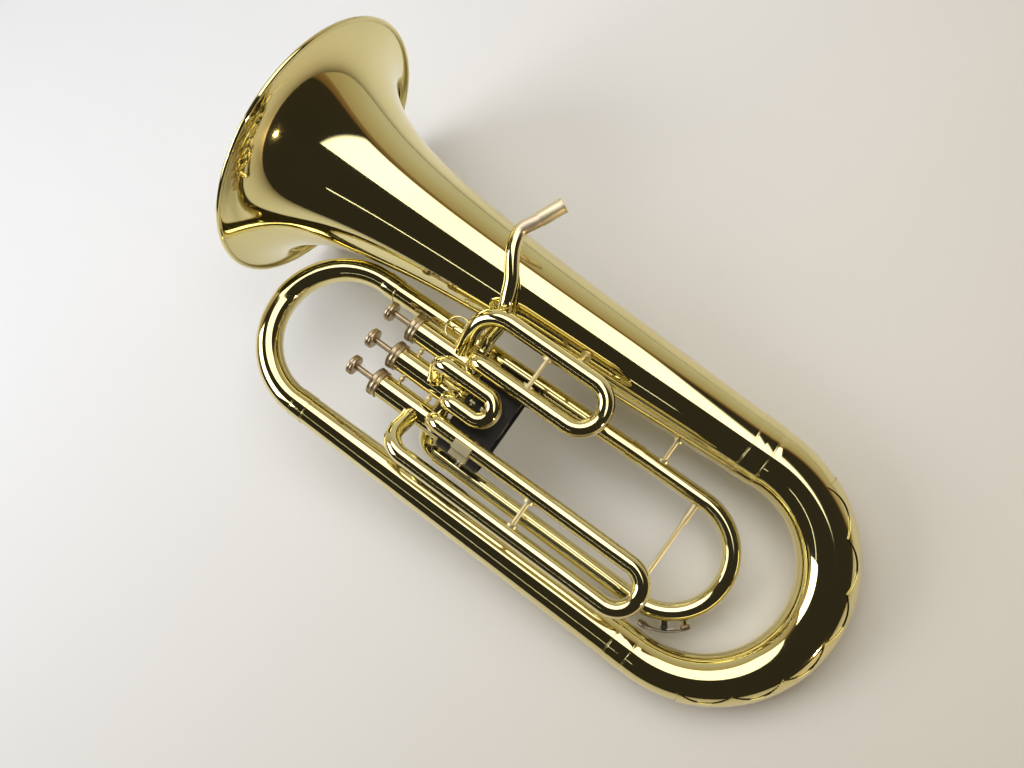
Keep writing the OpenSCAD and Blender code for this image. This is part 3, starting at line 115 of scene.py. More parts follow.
class NodeSheet:
    """A material's node tree, with short ways to add and link its nodes."""

    PATTERN_MIDDLE = (0.3, 0.7)
    # A Mix node's colour sockets, which share their names with its other sockets.
    MIX_FIRST, MIX_SECOND, MIX_RESULT = 6, 7, 2

    def __init__(self, tree: bpy.types.NodeTree) -> None:
        """Empties the tree.

        Args:
            tree: The tree of a material or of the world.
        """
        self.tree = tree
        tree.nodes.clear()

    def add(self, kind: str, **inputs: object) -> bpy.types.Node:
        """Adds a node.

        Args:
            kind: The node's type, without its ShaderNode prefix.
            inputs: Values of its sockets, with spaces in their names as underscores.

        Returns:
            The node.
        """
        node = self.tree.nodes.new("ShaderNode" + kind)
        for name, value in inputs.items():
            node.inputs[name.replace("_", " ")].default_value = value
        return node

    def link(self, source: Socket, target: Socket) -> None:
        """Links an output to an input."""
        self.tree.links.new(source, target)

    def place(self) -> Socket:
        """Adds Object coordinates and returns their socket."""
        return self.add("TexCoord").outputs["Object"]

    def noise(self, place: Socket, scale: float, detail: float = 2.0) -> Socket:
        """Adds a noise pattern.

        Args:
            place: The coordinates that it reads.
            scale: Its features for each metre.
            detail: Its octaves.

        Returns:
            The pattern's value.
        """
        node = self.add("TexNoise", Scale=scale, Detail=detail)
        self.link(place, node.inputs["Vector"])
        return node.outputs["Fac"]

    def along(self, place: Socket, way: Vector) -> Socket:
        """Measures a place or a direction along a way.

        Args:
            place: The place or direction.
            way: The way.

        Returns:
            The distance along it.
        """
        node = self.add("VectorMath")
        node.operation = "DOT_PRODUCT"
        node.inputs[1].default_value = way
        self.link(place, node.inputs[0])
        return node.outputs["Value"]

    def ramp(self, value: Socket, stops: Sequence[tuple[float, Colour]]) -> Socket:
        """Adds a colour ramp.

        Args:
            value: What the ramp reads.
            stops: Places along the ramp and their colours.

        Returns:
            The ramp's colour.
        """
        node = self.add("ValToRGB")
        elements = node.color_ramp.elements
        while len(elements) < len(stops):
            elements.new(1.0)
        for element, (place, colour) in zip(elements, stops):
            element.position = place
            element.color = (*colour, 1.0)
        self.link(value, node.inputs["Fac"])
        return node.outputs["Color"]

    def mix(self, share: Socket, first: Socket, second: Colour) -> Socket:
        """Mixes a colour with a plain one.

        Args:
            share: How much of the plain colour is taken, from 0 to 1.
            first: The colour.
            second: The plain colour.

        Returns:
            The mixed colour.
        """
        node = self.add("Mix")
        node.data_type = "RGBA"
        self.link(share, node.inputs["Factor"])
        self.link(first, node.inputs[self.MIX_FIRST])
        node.inputs[self.MIX_SECOND].default_value = (*second, 1.0)
        return node.outputs[self.MIX_RESULT]

    def step(self, place: Socket, way: Vector, start: float, end: float) -> Socket:
        """Measures how far a place lies beyond a line.

        Args:
            place: The place or direction.
            way: The way across the line.
            start: Distance along the way at which the share is 0.
            end: Distance at which it is 1.

        Returns:
            The share.
        """
        node = self.add("MapRange", From_Min=start, From_Max=end)
        self.link(self.along(place, way), node.inputs["Value"])
        return node.outputs["Result"]

    def span(self, value: Socket, low: float, high: float) -> Socket:
        """Maps a pattern's middle range to a range of values.

        Args:
            value: The pattern.
            low: The value at its low end.
            high: The value at its high end.

        Returns:
            The mapped value.
        """
        start, end = self.PATTERN_MIDDLE
        node = self.add("MapRange", From_Min=start, From_Max=end, To_Min=low, To_Max=high)
        self.link(value, node.inputs["Value"])
        return node.outputs["Result"]

    def bump(self, height: Socket, distance: float, below: Socket | None = None) -> Socket:
        """Adds a bump.

        Args:
            height: The pattern that it follows.
            distance: Its height in metres.
            below: A bump that it adds to.

        Returns:
            The bumped normal.
        """
        node = self.add("Bump", Strength=1.0, Distance=distance)
        self.link(height, node.inputs["Height"])
        if below is not None:
            self.link(below, node.inputs["Normal"])
        return node.outputs["Normal"]


def new_material(name: str) -> tuple[bpy.types.Material, NodeSheet, bpy.types.Node]:
    """Makes a material with an empty Principled shader on its output.

    Args:
        name: The material's name.

    Returns:
        The material, its node sheet and its shader.
    """
    material = bpy.data.materials.new(name)
    material.use_nodes = True
    sheet = NodeSheet(material.node_tree)
    shader = sheet.add("BsdfPrincipled")
    sheet.link(shader.outputs["BSDF"], sheet.add("OutputMaterial").inputs["Surface"])
    return material, sheet, shader


@dataclass(frozen=True)
class MetalFinish:
    """A polished or satin metal, with slow changes of tone, fine rubbing marks and a little waviness."""

    name: str
    slot: Slot
    bright: Colour
    deep: Colour
    roughness: float
    rubbed: float
    coat: float = 0.0
    coat_roughness: float = 0.02
    tone_stops: tuple[float, float] = (0.35, 0.65)
    tone_scale: float = 9.0
    rub_scale: float = 420.0
    wave_scale: float = 14.0
    wave_height: float = 0.0
    # When a colour is given, the metal turns paler, pinker and rougher beyond a line across the piece.
    patch: Colour | None = None
    patch_roughness: float = 0.46
    patch_way: Offset = (0.0, -1.0, 0.0)
    patch_from: float = 0.066
    patch_to: float = 0.084

    @cache
    def material(self) -> bpy.types.Material:
        """Makes the finish's material at its first use.

        Returns:
            The material.
        """
        material, sheet, shader = new_material(self.name)
        place = sheet.place()
        tones = list(zip(self.tone_stops, (self.deep, self.bright)))
        tone = sheet.ramp(sheet.noise(place, self.tone_scale, detail=4.0), tones)
        rubbing = sheet.span(sheet.noise(place, self.rub_scale, detail=6.0), self.roughness, self.rubbed)
        # Beyond a line across the piece, the metal turns paler, pinker and rougher.
        if self.patch:
            share = sheet.step(place, Vector(self.patch_way), self.patch_from, self.patch_to)
            tone = sheet.mix(share, tone, self.patch)
            rubbing = sheet.mix(share, rubbing, (self.patch_roughness,) * 3)
        sheet.link(tone, shader.inputs["Base Color"])
        sheet.link(rubbing, shader.inputs["Roughness"])
        if self.wave_height:
            wave = sheet.bump(sheet.noise(place, self.wave_scale, detail=1.0), self.wave_height)
            sheet.link(wave, shader.inputs["Normal"])
            if self.coat:
                sheet.link(wave, shader.inputs["Coat Normal"])
        shader.inputs["Metallic"].default_value = 1.0
        shader.inputs["Coat Weight"].default_value = self.coat
        shader.inputs["Coat Roughness"].default_value = self.coat_roughness
        return material


class Grain(Enum):
    """Kinds of soft surface."""

    PEBBLED = "pebbled hide"
    FIBROUS = "pressed fibres"
    SPECKLED = "bark with specks"


@dataclass(frozen=True)
class SoftFinish:
    """Leather, felt or cork."""

    name: str
    slot: Slot
    grain: Grain
    light: Colour
    dark: Colour
    roughness: float
    grain_scale: float
    grain_depth: float
    sheen: float = 0.0
    wear_stops: tuple[float, float] = (0.35, 0.7)
    wear_grains: float = 18.0
    wear_polish: float = 0.8
    crease_depth: float = 2.0

    @cache
    def material(self) -> bpy.types.Material:
        """Makes the finish's material at its first use.

        Returns:
            The material.
        """
        material, sheet, shader = new_material(self.name)
        place = sheet.place()
        if self.grain is Grain.FIBROUS:
            pattern = sheet.noise(place, self.grain_scale, detail=8.0)
        else:
            cells = sheet.add("TexVoronoi", Scale=self.grain_scale)
            sheet.link(place, cells.inputs["Vector"])
            pattern = cells.outputs["Distance"]
        patch = sheet.noise(place, self.grain_scale / self.wear_grains, detail=4.0)
        tones = list(zip(self.wear_stops, (self.dark, self.light)))
        sheet.link(sheet.ramp(patch, tones), shader.inputs["Base Color"])
        polished = self.roughness * self.wear_polish
        sheet.link(sheet.span(patch, polished, self.roughness), shader.inputs["Roughness"])
        creases = sheet.bump(patch, self.grain_depth * self.crease_depth)
        sheet.link(sheet.bump(pattern, self.grain_depth, creases), shader.inputs["Normal"])
        shader.inputs["Sheen Weight"].default_value = self.sheen
        return material


@dataclass(frozen=True)
class Finishes:
    """The finishes of the horn."""

    brass: MetalFinish = MetalFinish(
        "bell_brass", Slot.BRASS, (0.82, 0.73, 0.37), (0.77, 0.67, 0.31), 0.035, 0.07,
        coat=0.25, wave_height=0.00012,
    )
    drawn_brass: MetalFinish = MetalFinish(
        "tube_brass", Slot.BRASS, (0.84, 0.76, 0.41), (0.79, 0.69, 0.34), 0.045, 0.09,
        coat=0.25, wave_scale=30.0, wave_height=0.0001,
    )
    # Paler, pinker and rougher beyond a line across the pipe.
    lead_brass: MetalFinish = MetalFinish(
        "lead_brass", Slot.BRASS, (0.84, 0.76, 0.41), (0.79, 0.69, 0.34), 0.045, 0.09,
        wave_scale=30.0, wave_height=0.0001, patch=(0.93, 0.79, 0.60),
    )
    satin_nickel: MetalFinish = MetalFinish(
        "satin_nickel", Slot.NICKEL, (0.60, 0.49, 0.33), (0.46, 0.36, 0.22), 0.26, 0.40, coat=0.15,
        tone_scale=60.0, rub_scale=900.0,
    )
    key_nickel: MetalFinish = MetalFinish(
        "worn_nickel", Slot.NICKEL, (0.40, 0.35, 0.28), (0.23, 0.19, 0.14), 0.22, 0.38, tone_scale=90.0,
        rub_scale=900.0,
    )
    receiver: MetalFinish = MetalFinish(
        "receiver_brass", Slot.NICKEL, (0.93, 0.84, 0.60), (0.88, 0.78, 0.54), 0.42, 0.48,
        tone_scale=40.0,
    )
    rubbed_brass: MetalFinish = MetalFinish(
        "rubbed_brass", Slot.BRASS, (0.93, 0.82, 0.50), (0.88, 0.76, 0.45), 0.34, 0.38, tone_scale=20.0,
        rub_scale=1600.0,
    )
    plate: MetalFinish = MetalFinish(
        "piston_plate", Slot.PLATE, (0.70, 0.69, 0.66), (0.62, 0.60, 0.56), 0.16, 0.26, tone_scale=40.0,
    )
    stud: MetalFinish = MetalFinish(
        "stud_nickel", Slot.NICKEL, (0.80, 0.78, 0.72), (0.70, 0.67, 0.60), 0.10, 0.18, tone_scale=80.0,
    )
    steel: MetalFinish = MetalFinish(
        "coil_steel", Slot.STEEL, (0.42, 0.42, 0.43), (0.30, 0.30, 0.31), 0.22, 0.36, tone_scale=80.0,
    )
    leather: SoftFinish = SoftFinish(
        "black_hide", Slot.LEATHER, Grain.PEBBLED, (0.020, 0.018, 0.017), (0.008, 0.007, 0.007), 0.55,
        900.0, 0.00015, sheen=0.1,
    )
    thread: SoftFinish = SoftFinish(
        "waxed_thread", Slot.LEATHER, Grain.FIBROUS, (0.05, 0.045, 0.04), (0.025, 0.022, 0.02), 0.7, 2500.0,
        0.00008,
    )
    cork: SoftFinish = SoftFinish(
        "key_cork_bark", Slot.CORK, Grain.SPECKLED, (0.50, 0.31, 0.16), (0.27, 0.15, 0.07), 0.9, 1400.0,
        0.00012,
    )
    felt: SoftFinish = SoftFinish(
        "cap_felt", Slot.FELT, Grain.FIBROUS, (0.40, 0.46, 0.36), (0.30, 0.36, 0.27), 0.95, 1800.0, 0.0002,
        sheen=0.4,
    )


Finish = MetalFinish | SoftFinish


@dataclass(frozen=True)
class HornFrame:
    """The horn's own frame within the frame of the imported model."""

    matrix: Matrix

    @classmethod
    def from_record(cls, record: dict) -> HornFrame:
        """Reads the horn's directions from its joints and its place from the bell's mouth.

        Args:
            record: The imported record.

        Returns:
            The horn's frame.
        """
        axes = {joint["name"]: Vector(joint["axis"]) for joint in record["behaviour"]["joints"]}
        mouth = next(mount for mount in record["mounts"] if mount["name"] == "bell_mouth")
        x, y, z = -axes["valve_1_slide"], axes["lyre_screw_turn"], -axes["water_key_hinge"]
        turn = Matrix((x, y, z)).transposed().to_4x4()
        return cls(Matrix.Translation(mouth["pos_m"]) @ turn)


def at(depth: float, y: float, z: float) -> Vector:
    """Returns the point at a depth from the bell's mouth."""
    return Vector((-depth, y, z))


def depth_frame(y: float = 0.0, z: float = 0.0, depth: float = 0.0) -> Matrix:
    """Returns a frame whose Z runs along the depth and whose X is the front."""
    return Matrix.Translation(at(depth, y, z)) @ Matrix.Rotation(-math.pi / 2, 4, "Y")


def axis_frame(point: Vector, direction: Vector) -> Matrix:
    """Returns a frame at a point with its Z along a direction."""
    return Matrix.Translation(point) @ direction.to_track_quat("Z", "Y").to_matrix().to_4x4()


@dataclass(frozen=True)
class Station:
    """A place along a tube."""

    point: Vector
    heading: Vector
    radius: float


def extruded(
    bm: Shape, edges: list[bmesh.types.BMEdge]
) -> tuple[list[bmesh.types.BMVert], list[bmesh.types.BMEdge]]:
    """Extrudes edges in place.

    Args:
        bm: The mesh.
        edges: The edges.

    Returns:
        The new vertices, and the new edges that run between them.
    """
    made = bmesh.ops.extrude_edge_only(bm, edges=edges)["geom"]
    verts = [item for item in made if isinstance(item, bmesh.types.BMVert)]
    moved = set(verts)
    new_edges = [item for item in made if isinstance(item, bmesh.types.BMEdge)]
    return verts, [edge for edge in new_edges if all(vert in moved for vert in edge.verts)]


def fill_ends(bm: Shape) -> None:
    """Closes the open ends of a shape."""
    bmesh.ops.holes_fill(bm, edges=[edge for edge in bm.edges if edge.is_boundary], sides=0)


def turned(profile: Profile, steps: int, closed: bool = False) -> Shape:
    """Spins an outline round the Z axis.

    Args:
        profile: Radii and heights along the outline.
        steps: Steps of the spin.
        closed: Whether the outline's end joins its start.

    Returns:
        The turned shape.
    """
    bm = bmesh.new()
    verts = [bm.verts.new((radius, 0.0, height)) for radius, height in profile]
    ends = [*verts[1:], verts[0]] if closed else verts[1:]
    edges = [bm.edges.new(pair) for pair in zip(verts, ends)]
    bmesh.ops.spin(
        bm, geom=[*verts, *edges], cent=ORIGIN, axis=(0.0, 0.0, 1.0), angle=math.tau, steps=steps,
        use_merge=True,
    )
    bmesh.ops.remove_doubles(bm, verts=bm.verts[:], dist=MERGE)
    bmesh.ops.recalc_face_normals(bm, faces=bm.faces[:])
    return bm


def rounded(points: Profile, radius: float, steps: int = 4) -> list[tuple[float, float]]:
    """Rounds the inner corners of an outline.

    Args:
        points: The outline.
        radius: The most that a corner is cut back along each side.
        steps: Points along each rounded corner, less one.

    Returns:
        The rounded outline.
    """
    made = [points[0]]
    for before, corner, after in zip(points, points[1:], points[2:]):
        middle = Vector(corner)
        back, on = Vector(before) - middle, Vector(after) - middle
        cut = min(radius, back.length * CORNER_SHARE, on.length * CORNER_SHARE)
        start, end = middle + back.normalized() * cut, middle + on.normalized() * cut
        for step in range(steps + 1):
            t = step / steps
            made.append(tuple(start * (1 - t) ** 2 + middle * 2 * t * (1 - t) + end * t ** 2))
    return [*made, points[-1]]


def sweep(bm: Shape, edges: list[bmesh.types.BMEdge], stations: Sequence[Station]) -> None:
    """Extrudes edges along stations, turning and scaling them at each.

    Args:
        bm: The mesh.
        edges: Edges that stand at the first station.
        stations: Where they go.
    """
    for here, there in zip(stations, stations[1:]):
        verts, edges = extruded(bm, edges)
        turn = here.heading.rotation_difference(there.heading).to_matrix().to_4x4()
        grow = Matrix.Scale(there.radius / here.radius, 4)
        step = Matrix.Translation(there.point) @ turn @ grow @ Matrix.Translation(-here.point)
        bmesh.ops.transform(bm, matrix=step, verts=verts)


def swept_tube(stations: Sequence[Station], sides: int) -> Shape:
    """Sweeps an open tube along stations.

    Args:
        stations: Places along the tube.
        sides: Sides of the tube.

    Returns:
        The tube's outside.
    """
    bm = bmesh.new()
    start = stations[0]
    bmesh.ops.create_circle(
        bm, radius=start.radius, segments=sides, matrix=axis_frame(start.point, start.heading)
    )
    sweep(bm, bm.edges[:], stations)
    bmesh.ops.recalc_face_normals(bm, faces=bm.faces[:])
    return bm


def half_turn(start: Vector, end: Vector, bulge: float, steps: int) -> Walk:
    """Walks a half circle that bulges along X.

    Args:
        start: Where it starts.
        end: Where it ends.
        bulge: 1 to bulge towards +X, or -1 towards -X.
        steps: Steps along it.

    Returns:
        Points and directions of travel.
    """
    middle, arm = (start + end) / 2, (start - end) / 2
    out = Vector((bulge * arm.length, 0.0, 0.0))
    walk = []
    for step in range(steps + 1):
        angle = math.pi * step / steps
        point = middle + arm * math.cos(angle) + out * math.sin(angle)
        heading = out * math.cos(angle) - arm * math.sin(angle)
        walk.append((point, heading.normalized()))
    return walk


def tapered(walk: Walk, start_r: float, end_r: float) -> list[Station]:
    """Gives a walk radii that change evenly along it.

    Args:
        walk: Points and directions.
        start_r: Radius at the start.
        end_r: Radius at the end.

    Returns:
        The stations.
    """
    runs = [0.0]
    for (here, _), (there, _) in zip(walk, walk[1:]):
        runs.append(runs[-1] + (there - here).length)
    return [
        Station(point, heading, start_r + (end_r - start_r) * run / runs[-1])
        for (point, heading), run in zip(walk, runs)
    ]


def smooth_walk(points: Sequence[Vector], steps: int) -> Walk:
    """Walks a smooth curve through points.

    Args:
        points: Points that the curve passes.
        steps: Steps between neighbouring points.

    Returns:
        Points and directions of travel.
    """
    path = []
    for i in range(len(points) - 1):
        a, b, c, d = points[max(i - 1, 0)], points[i], points[i + 1], points[min(i + 2, len(points) - 1)]
        bend, sway = 2 * a - 5 * b + 4 * c - d, 3 * b - a - 3 * c + d
        for step in range(steps):
            t = step / steps
            path.append((2 * b + (c - a) * t + bend * t ** 2 + sway * t ** 3) / 2)
    path.append(points[-1])
    last = len(path) - 1
    walk = []
    for i, point in enumerate(path):
        heading = path[min(i + 1, last)] - path[max(i - 1, 0)]
        walk.append((point, heading.normalized()))
    return walk


class Workshop:
    """Turns shapes into pieces of the horn and keeps count of them."""

    def __init__(self, frame: dict) -> None:
        """Takes the loaded frame.
        """
        self.nodes: dict[str, bpy.types.Object] = frame["nodes"]
        self.horn = HornFrame.from_record(frame["record"])
        self.finishes = Finishes()

    def piece(
        self,
        name: str,
        bm: Shape,
        finish: Finish,
        body: Body,
        nodes: Sequence[str] = (),
        frame: Matrix | None = None,
        wall: float = 0.0,
        bevel: float = 0.0,
    ) -> bpy.types.Object:
        """Makes a dressed piece of a shape and frees the shape.

        Args:
            name: The piece's name.
            bm: The shape, in the horn frame or in a frame within it.
            finish: Its finish.
            body: The body that it rides on.
            nodes: The nodes that it stands for.
            frame: The shape's frame within the horn frame.
            wall: Thickness of the wall that the shape gets inwards, or outwards where it is negative.
            bevel: Width of the bevel on its sharp edges.

        Returns:
            The piece.
        """
        place = self.horn.matrix @ frame if frame else self.horn.matrix
        bmesh.ops.transform(bm, matrix=place, verts=bm.verts[:])
        mesh = bpy.data.meshes.new(name)
        bm.to_mesh(mesh)
        bm.free()
        mesh.shade_smooth()
        mesh.set_sharp_from_angle(angle=SHARP_ANGLE)
        made = bpy.data.objects.new(name, mesh)
        bpy.context.scene.collection.objects.link(made)
        if wall:
            shell = made.modifiers.new("wall", "SOLIDIFY")
            shell.thickness = abs(wall)
            shell.offset = -1.0 if wall > 0 else 1.0
        if bevel:
            edge = made.modifiers.new("edge", "BEVEL")
            edge.width = bevel
            edge.segments = 2
            edge.limit_method = "ANGLE"
            edge.angle_limit = SHARP_ANGLE
            edge.harden_normals = True
        mesh.materials.append(finish.material())
        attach(made, body.value)
        if nodes:
            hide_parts(*nodes)
        stood_for = ", ".join(nodes) or "none"
        log.info("%s: %d faces on %s, stands for %s", name, len(mesh.polygons), body.value, stood_for)
        return made

    def dress(self, finish: Finish, *nodes: str) -> None:
        """Gives nodes that stay in view their finish.

        Args:
            finish: The finish.
            nodes: The nodes' names.
        """
        for name in nodes:
            materials = self.nodes[name].data.materials
            materials.clear()
            materials.append(finish.material())
            log.info("%s: node in %s", name, finish.name)


@dataclass
class Bell:
    """The bell, spun of one sheet, with its rolled rim."""

    mouth_d: float = 0.282
    rim_d: float = 0.0046
    depth: float = 0.520
    throat_d: float = 0.0625
    taper: float = 0.042
    flare_reach: float = 0.046
    flare_power: float = 0.76
    sheet: float = 0.0006
    rim_seat: float = 0.00005
    profile_steps: int = 120
    profile_crowding: float = 2.2
    spin_steps: int = 192
    rim_sides: int = 20

    @property
    def lip_depth(self) -> float:
        """Depth of the middle of the rim."""
        return self.rim_d / 2

    def radius(self, depth: float) -> float:
        """Works out the bell's outside.

        Args:
            depth: The depth.

        Returns:
            The radius there.
        """
        lip_r = self.mouth_d / 2 - self.rim_d - self.rim_seat
        flare_r = lip_r - self.throat_d / 2 - self.taper * (self.depth - self.lip_depth)
        along = max(depth - self.lip_depth, 0.0) / self.flare_reach
        cone_r = self.throat_d / 2 + self.taper * (self.depth - depth)
        return cone_r + flare_r * math.exp(-(along ** self.flare_power))

    def build(self, shop: Workshop) -> None:
        """Builds the sheet and the rim.

        Args:
            shop: The workshop that makes the pieces.
        """
        reach = self.depth - self.lip_depth
        shares = [(i / self.profile_steps) ** self.profile_crowding for i in range(self.profile_steps + 1)]
        depths = [self.lip_depth + reach * share for share in shares]
        sheet = turned([(self.radius(depth), depth) for depth in depths], self.spin_steps)
        brass = shop.finishes.brass
        shop.piece("bell_sheet", sheet, brass, Body.HORN, ["bell"], depth_frame(), wall=self.sheet)
        middle, half = self.mouth_d / 2 - self.rim_d / 2, self.rim_d / 2
        turns = [math.tau * side / self.rim_sides for side in range(self.rim_sides)]
        ring = [(middle + half * math.cos(turn), half + half * math.sin(turn)) for turn in turns]
        rim = turned(ring, self.spin_steps, closed=True)
        shop.piece("bell_rim", rim, brass, Body.HORN, ["rim_wire"], depth_frame())


@dataclass
class Bows:
    """The bottom bow with its guard plate, and the top bow."""

    bell_depth: float = 0.520
    throat_d: float = 0.0625
    branch_y: float = 0.217
    bow_lead: float = 0.017
    bow_small_d: float = 0.040
    branch_small_d: float = 0.029
    top_bow_small_d: float = 0.023
    top_bow_depth: float = 0.134
    top_bow_lead: float = 0.009
    inner_branch_y: float = 0.070
    inner_branch_back: float = 0.014
    sheet: float = 0.0006
    guard_t: float = 0.0007
    guard_gap: float = 0.00032
    guard_wrap: float = math.radians(124)
    guard_sweep: float = math.radians(136)
    guard_scallops: int = 6
    guard_dip: float = math.radians(20)
    guard_bevel: float = 0.0002
    steps: int = 96
    sides: int = 72

    @property
    def turn_depth(self) -> float:
        """Depth at which the bottom bow turns."""
        return self.bell_depth + self.bow_lead

    def stations(
        self, start: Vector, end: Vector, bulge: float, lead: float, ends_d: tuple[float, float]
    ) -> list[Station]:
        """Places the stations of a bow with a straight lead at each end.

        Args:
            start: Where its turn starts.
            end: Where its turn ends.
            bulge: 1 to bulge towards +X, or -1 towards -X.
            lead: Length of its leads.
            ends_d: Diameters at its start and end.

        Returns:
            The stations.
        """
        straight = Vector((-bulge * lead, 0.0, 0.0))
        walk = half_turn(start, end, bulge, self.steps)
        walk = [(start + straight, walk[0][1]), *walk, (end + straight, walk[-1][1])]
        return tapered(walk, ends_d[0] / 2, ends_d[1] / 2)

    def bottom_stations(self) -> list[Station]:
        """Places the stations of the bottom bow, from the bell to the outer branch.

        Returns:
            The stations.
        """
        start = at(self.turn_depth, 0.0, 0.0)
        end = at(self.turn_depth, self.branch_y, 0.0)
        return self.stations(start, end, -1.0, self.bow_lead, (self.throat_d, self.bow_small_d))

    def top_stations(self) -> list[Station]:
        """Places the stations of the top bow, from the outer branch to the inner branch.

        Returns:
            The stations.
        """
        start = at(self.top_bow_depth, self.branch_y, 0.0)
        end = at(self.top_bow_depth, self.inner_branch_y, -self.inner_branch_back)
        return self.stations(start, end, 1.0, self.top_bow_lead, (self.branch_small_d, self.top_bow_small_d))

    def shrink(self, stations: Sequence[Station]) -> float:
        """Returns a bow's change of radius for each metre along it."""
        run = sum((there.point - here.point).length for here, there in zip(stations, stations[1:]))
        return (stations[0].radius - stations[-1].radius) / run

    def guard(self) -> Shape:
        """Sweeps the guard plate's arc along the middle of the bottom bow and scallops its edges.

        Returns:
            The plate's inside.
        """
        stations = self.bottom_stations()
        skip = round((math.pi - self.guard_sweep) / 2 / math.pi * self.steps) + 1
        stations = [
            Station(station.point, station.heading, station.radius + self.guard_gap)
            for station in stations[skip:len(stations) - skip]
        ]
        first = stations[0]
        centre = Vector(first.point)
        middle = at(self.turn_depth, self.branch_y / 2, 0.0)
        outward = (centre - middle).normalized()
        bm = bmesh.new()
        edge = Matrix.Rotation(-self.guard_wrap / 2, 4, first.heading) @ outward
        start = bm.verts.new(centre + edge * first.radius)
        arc_steps = self.sides // 3
        bmesh.ops.spin(
            bm, geom=[start], cent=centre, axis=first.heading, angle=self.guard_wrap, steps=arc_steps,
            use_merge=False,
        )
        sweep(bm, bm.edges[:], stations)
        rows = len(stations) - 1
        for place, vert in enumerate(bm.verts):
            row = place // (arc_steps + 1)
            station = stations[row]
            arm = vert.co - station.point
            out = (station.point - middle).normalized()
            angle = math.atan2(station.heading.dot(out.cross(arm)), out.dot(arm))
            dip = abs(math.sin(math.pi * row * self.guard_scallops / rows))
            turn = -angle * 2 * self.guard_dip / self.guard_wrap * dip
            vert.co = station.point + Matrix.Rotation(turn, 3, station.heading) @ arm
        bmesh.ops.recalc_face_normals(bm, faces=bm.faces[:])
        return bm

    def build(self, shop: Workshop) -> None:
        """Builds both bows and the guard plate.

        Args:
            shop: The workshop that makes the pieces.
        """
        brass = shop.finishes.brass
        bottom = swept_tube(self.bottom_stations(), self.sides)
        shop.piece("bottom_bow_tube", bottom, brass, Body.HORN, ["bottom_bow"], wall=self.sheet)
        shop.piece(
            "bow_guard_plate", self.guard(), brass, Body.HORN, ["bow_guard"], wall=-self.guard_t,
            bevel=self.guard_bevel,
        )
        top = swept_tube(self.top_stations(), self.sides)
        shop.piece("top_bow_tube", top, brass, Body.HORN, ["top_bow"], wall=self.sheet)


@dataclass
class Leadpipe:
    """The tapered pipe that runs over the bell from the receiver to the first valve, and the receiver."""

    bell: Bell
    small_d: float = 0.0132
    large_d: float = 0.0152
    wall: float = 0.0008
    gap: float = 0.0009
    ease: float = 0.0006
    slack: float = 0.0003
    lead: float = 0.008
    end: Vector = field(default_factory=lambda: at(0.262, 0.07656, 0.020))
    bend: Vector = field(default_factory=lambda: at(0.2345, -0.038, 0.0575))
    after_bend: tuple[Offset, ...] = ((-0.002, 0.013, -0.0005), (-0.0085, 0.0265, -0.001))
    over_bell: tuple[tuple[float, float], ...] = ((0.2535, 6.0), (0.260, 27.0), (0.264, 50.0))
    before_end: Offset = (-0.0015, 0.021, -0.0035)
    receiver_axis: Vector = field(default_factory=lambda: Vector((-9.8, -20.0, 1.6)).normalized())
    receiver_seat: Vector = field(default_factory=lambda: at(0.2455, -0.0585, 0.060))
    receiver_d: float = 0.0149
    receiver_l: float = 0.026
    receiver_bore_d: float = 0.0114
    socket: float = 0.005
    shank_stop: float = 0.002
    shank_step: float = 0.0014
    bead_r: float = 0.0012
    corner: float = 0.0007
    steps: int = 10
    sides: int = 40
    receiver_sides: int = 48

    def beside_bell(self, depth: float, degrees: float) -> Vector:
        """Finds a place that clears the bell.

        Args:
            depth: Its depth.
            degrees: Its angle round the bell, from the front.

        Returns:
            The place.
        """
        angle = math.radians(degrees)
        reach = self.bell.radius(depth) + self.gap + self.large_d / 2 - self.ease
        return at(depth, reach * math.sin(angle), reach * math.cos(angle))

    def route(self) -> list[Vector]:
        """Lists the points that the pipe passes.

        Returns:
            The points.
        """
        return [
            *(self.receiver_seat - share * self.lead * self.receiver_axis for share in (0.0, 0.5, 1.0)),
            self.bend,
            *(self.bend + Vector(offset) for offset in self.after_bend),
            *(self.beside_bell(depth, degrees) for depth, degrees in self.over_bell),
            self.end - Vector(self.before_end),
            *(self.end - Vector((0.0, share * self.lead, 0.0)) for share in (1.0, 0.5, 0.0)),
        ]

    def receiver(self) -> Shape:
        """Turns the receiver.

        Returns:
            The receiver, with its socket over the pipe's end at zero and its beaded mouth along +Z.
        """
        r, bore, top = self.receiver_d / 2, self.receiver_bore_d / 2, self.receiver_l - self.socket
        step, stop = bore - self.shank_step, self.shank_stop
        sleeve = self.small_d / 2 + self.slack
        bead = self.bead_r
        outline = [
            (sleeve, self.slack), (sleeve, -self.socket), (r, -self.socket), (r, top - 2 * bead),
            (r - bead * 0.3, top - 1.9 * bead), (r + bead * 0.25, top - 1.5 * bead),
            (r + bead * 0.25, top - 0.5 * bead), (r - bead * 0.5, top),
            (bore, top), (bore, stop), (step, stop), (step, self.slack),
        ]
        return turned(rounded(outline, self.corner), self.receiver_sides, closed=True)

    def build(self, shop: Workshop) -> None:
        """Builds the pipe and the receiver.

        Args:
            shop: The workshop that makes the pieces.
        """
        brass = shop.finishes.lead_brass
        stations = tapered(smooth_walk(self.route(), self.steps), self.small_d / 2, self.large_d / 2)
        tube = swept_tube(stations, self.sides)
        shop.piece("leadpipe_tube", tube, brass, Body.HORN, ["leadpipe"], wall=self.wall)
        place = axis_frame(self.receiver_seat, self.receiver_axis)
        shop.piece("receiver_sleeve", self.receiver(), shop.finishes.receiver, Body.HORN, ["receiver"], place)


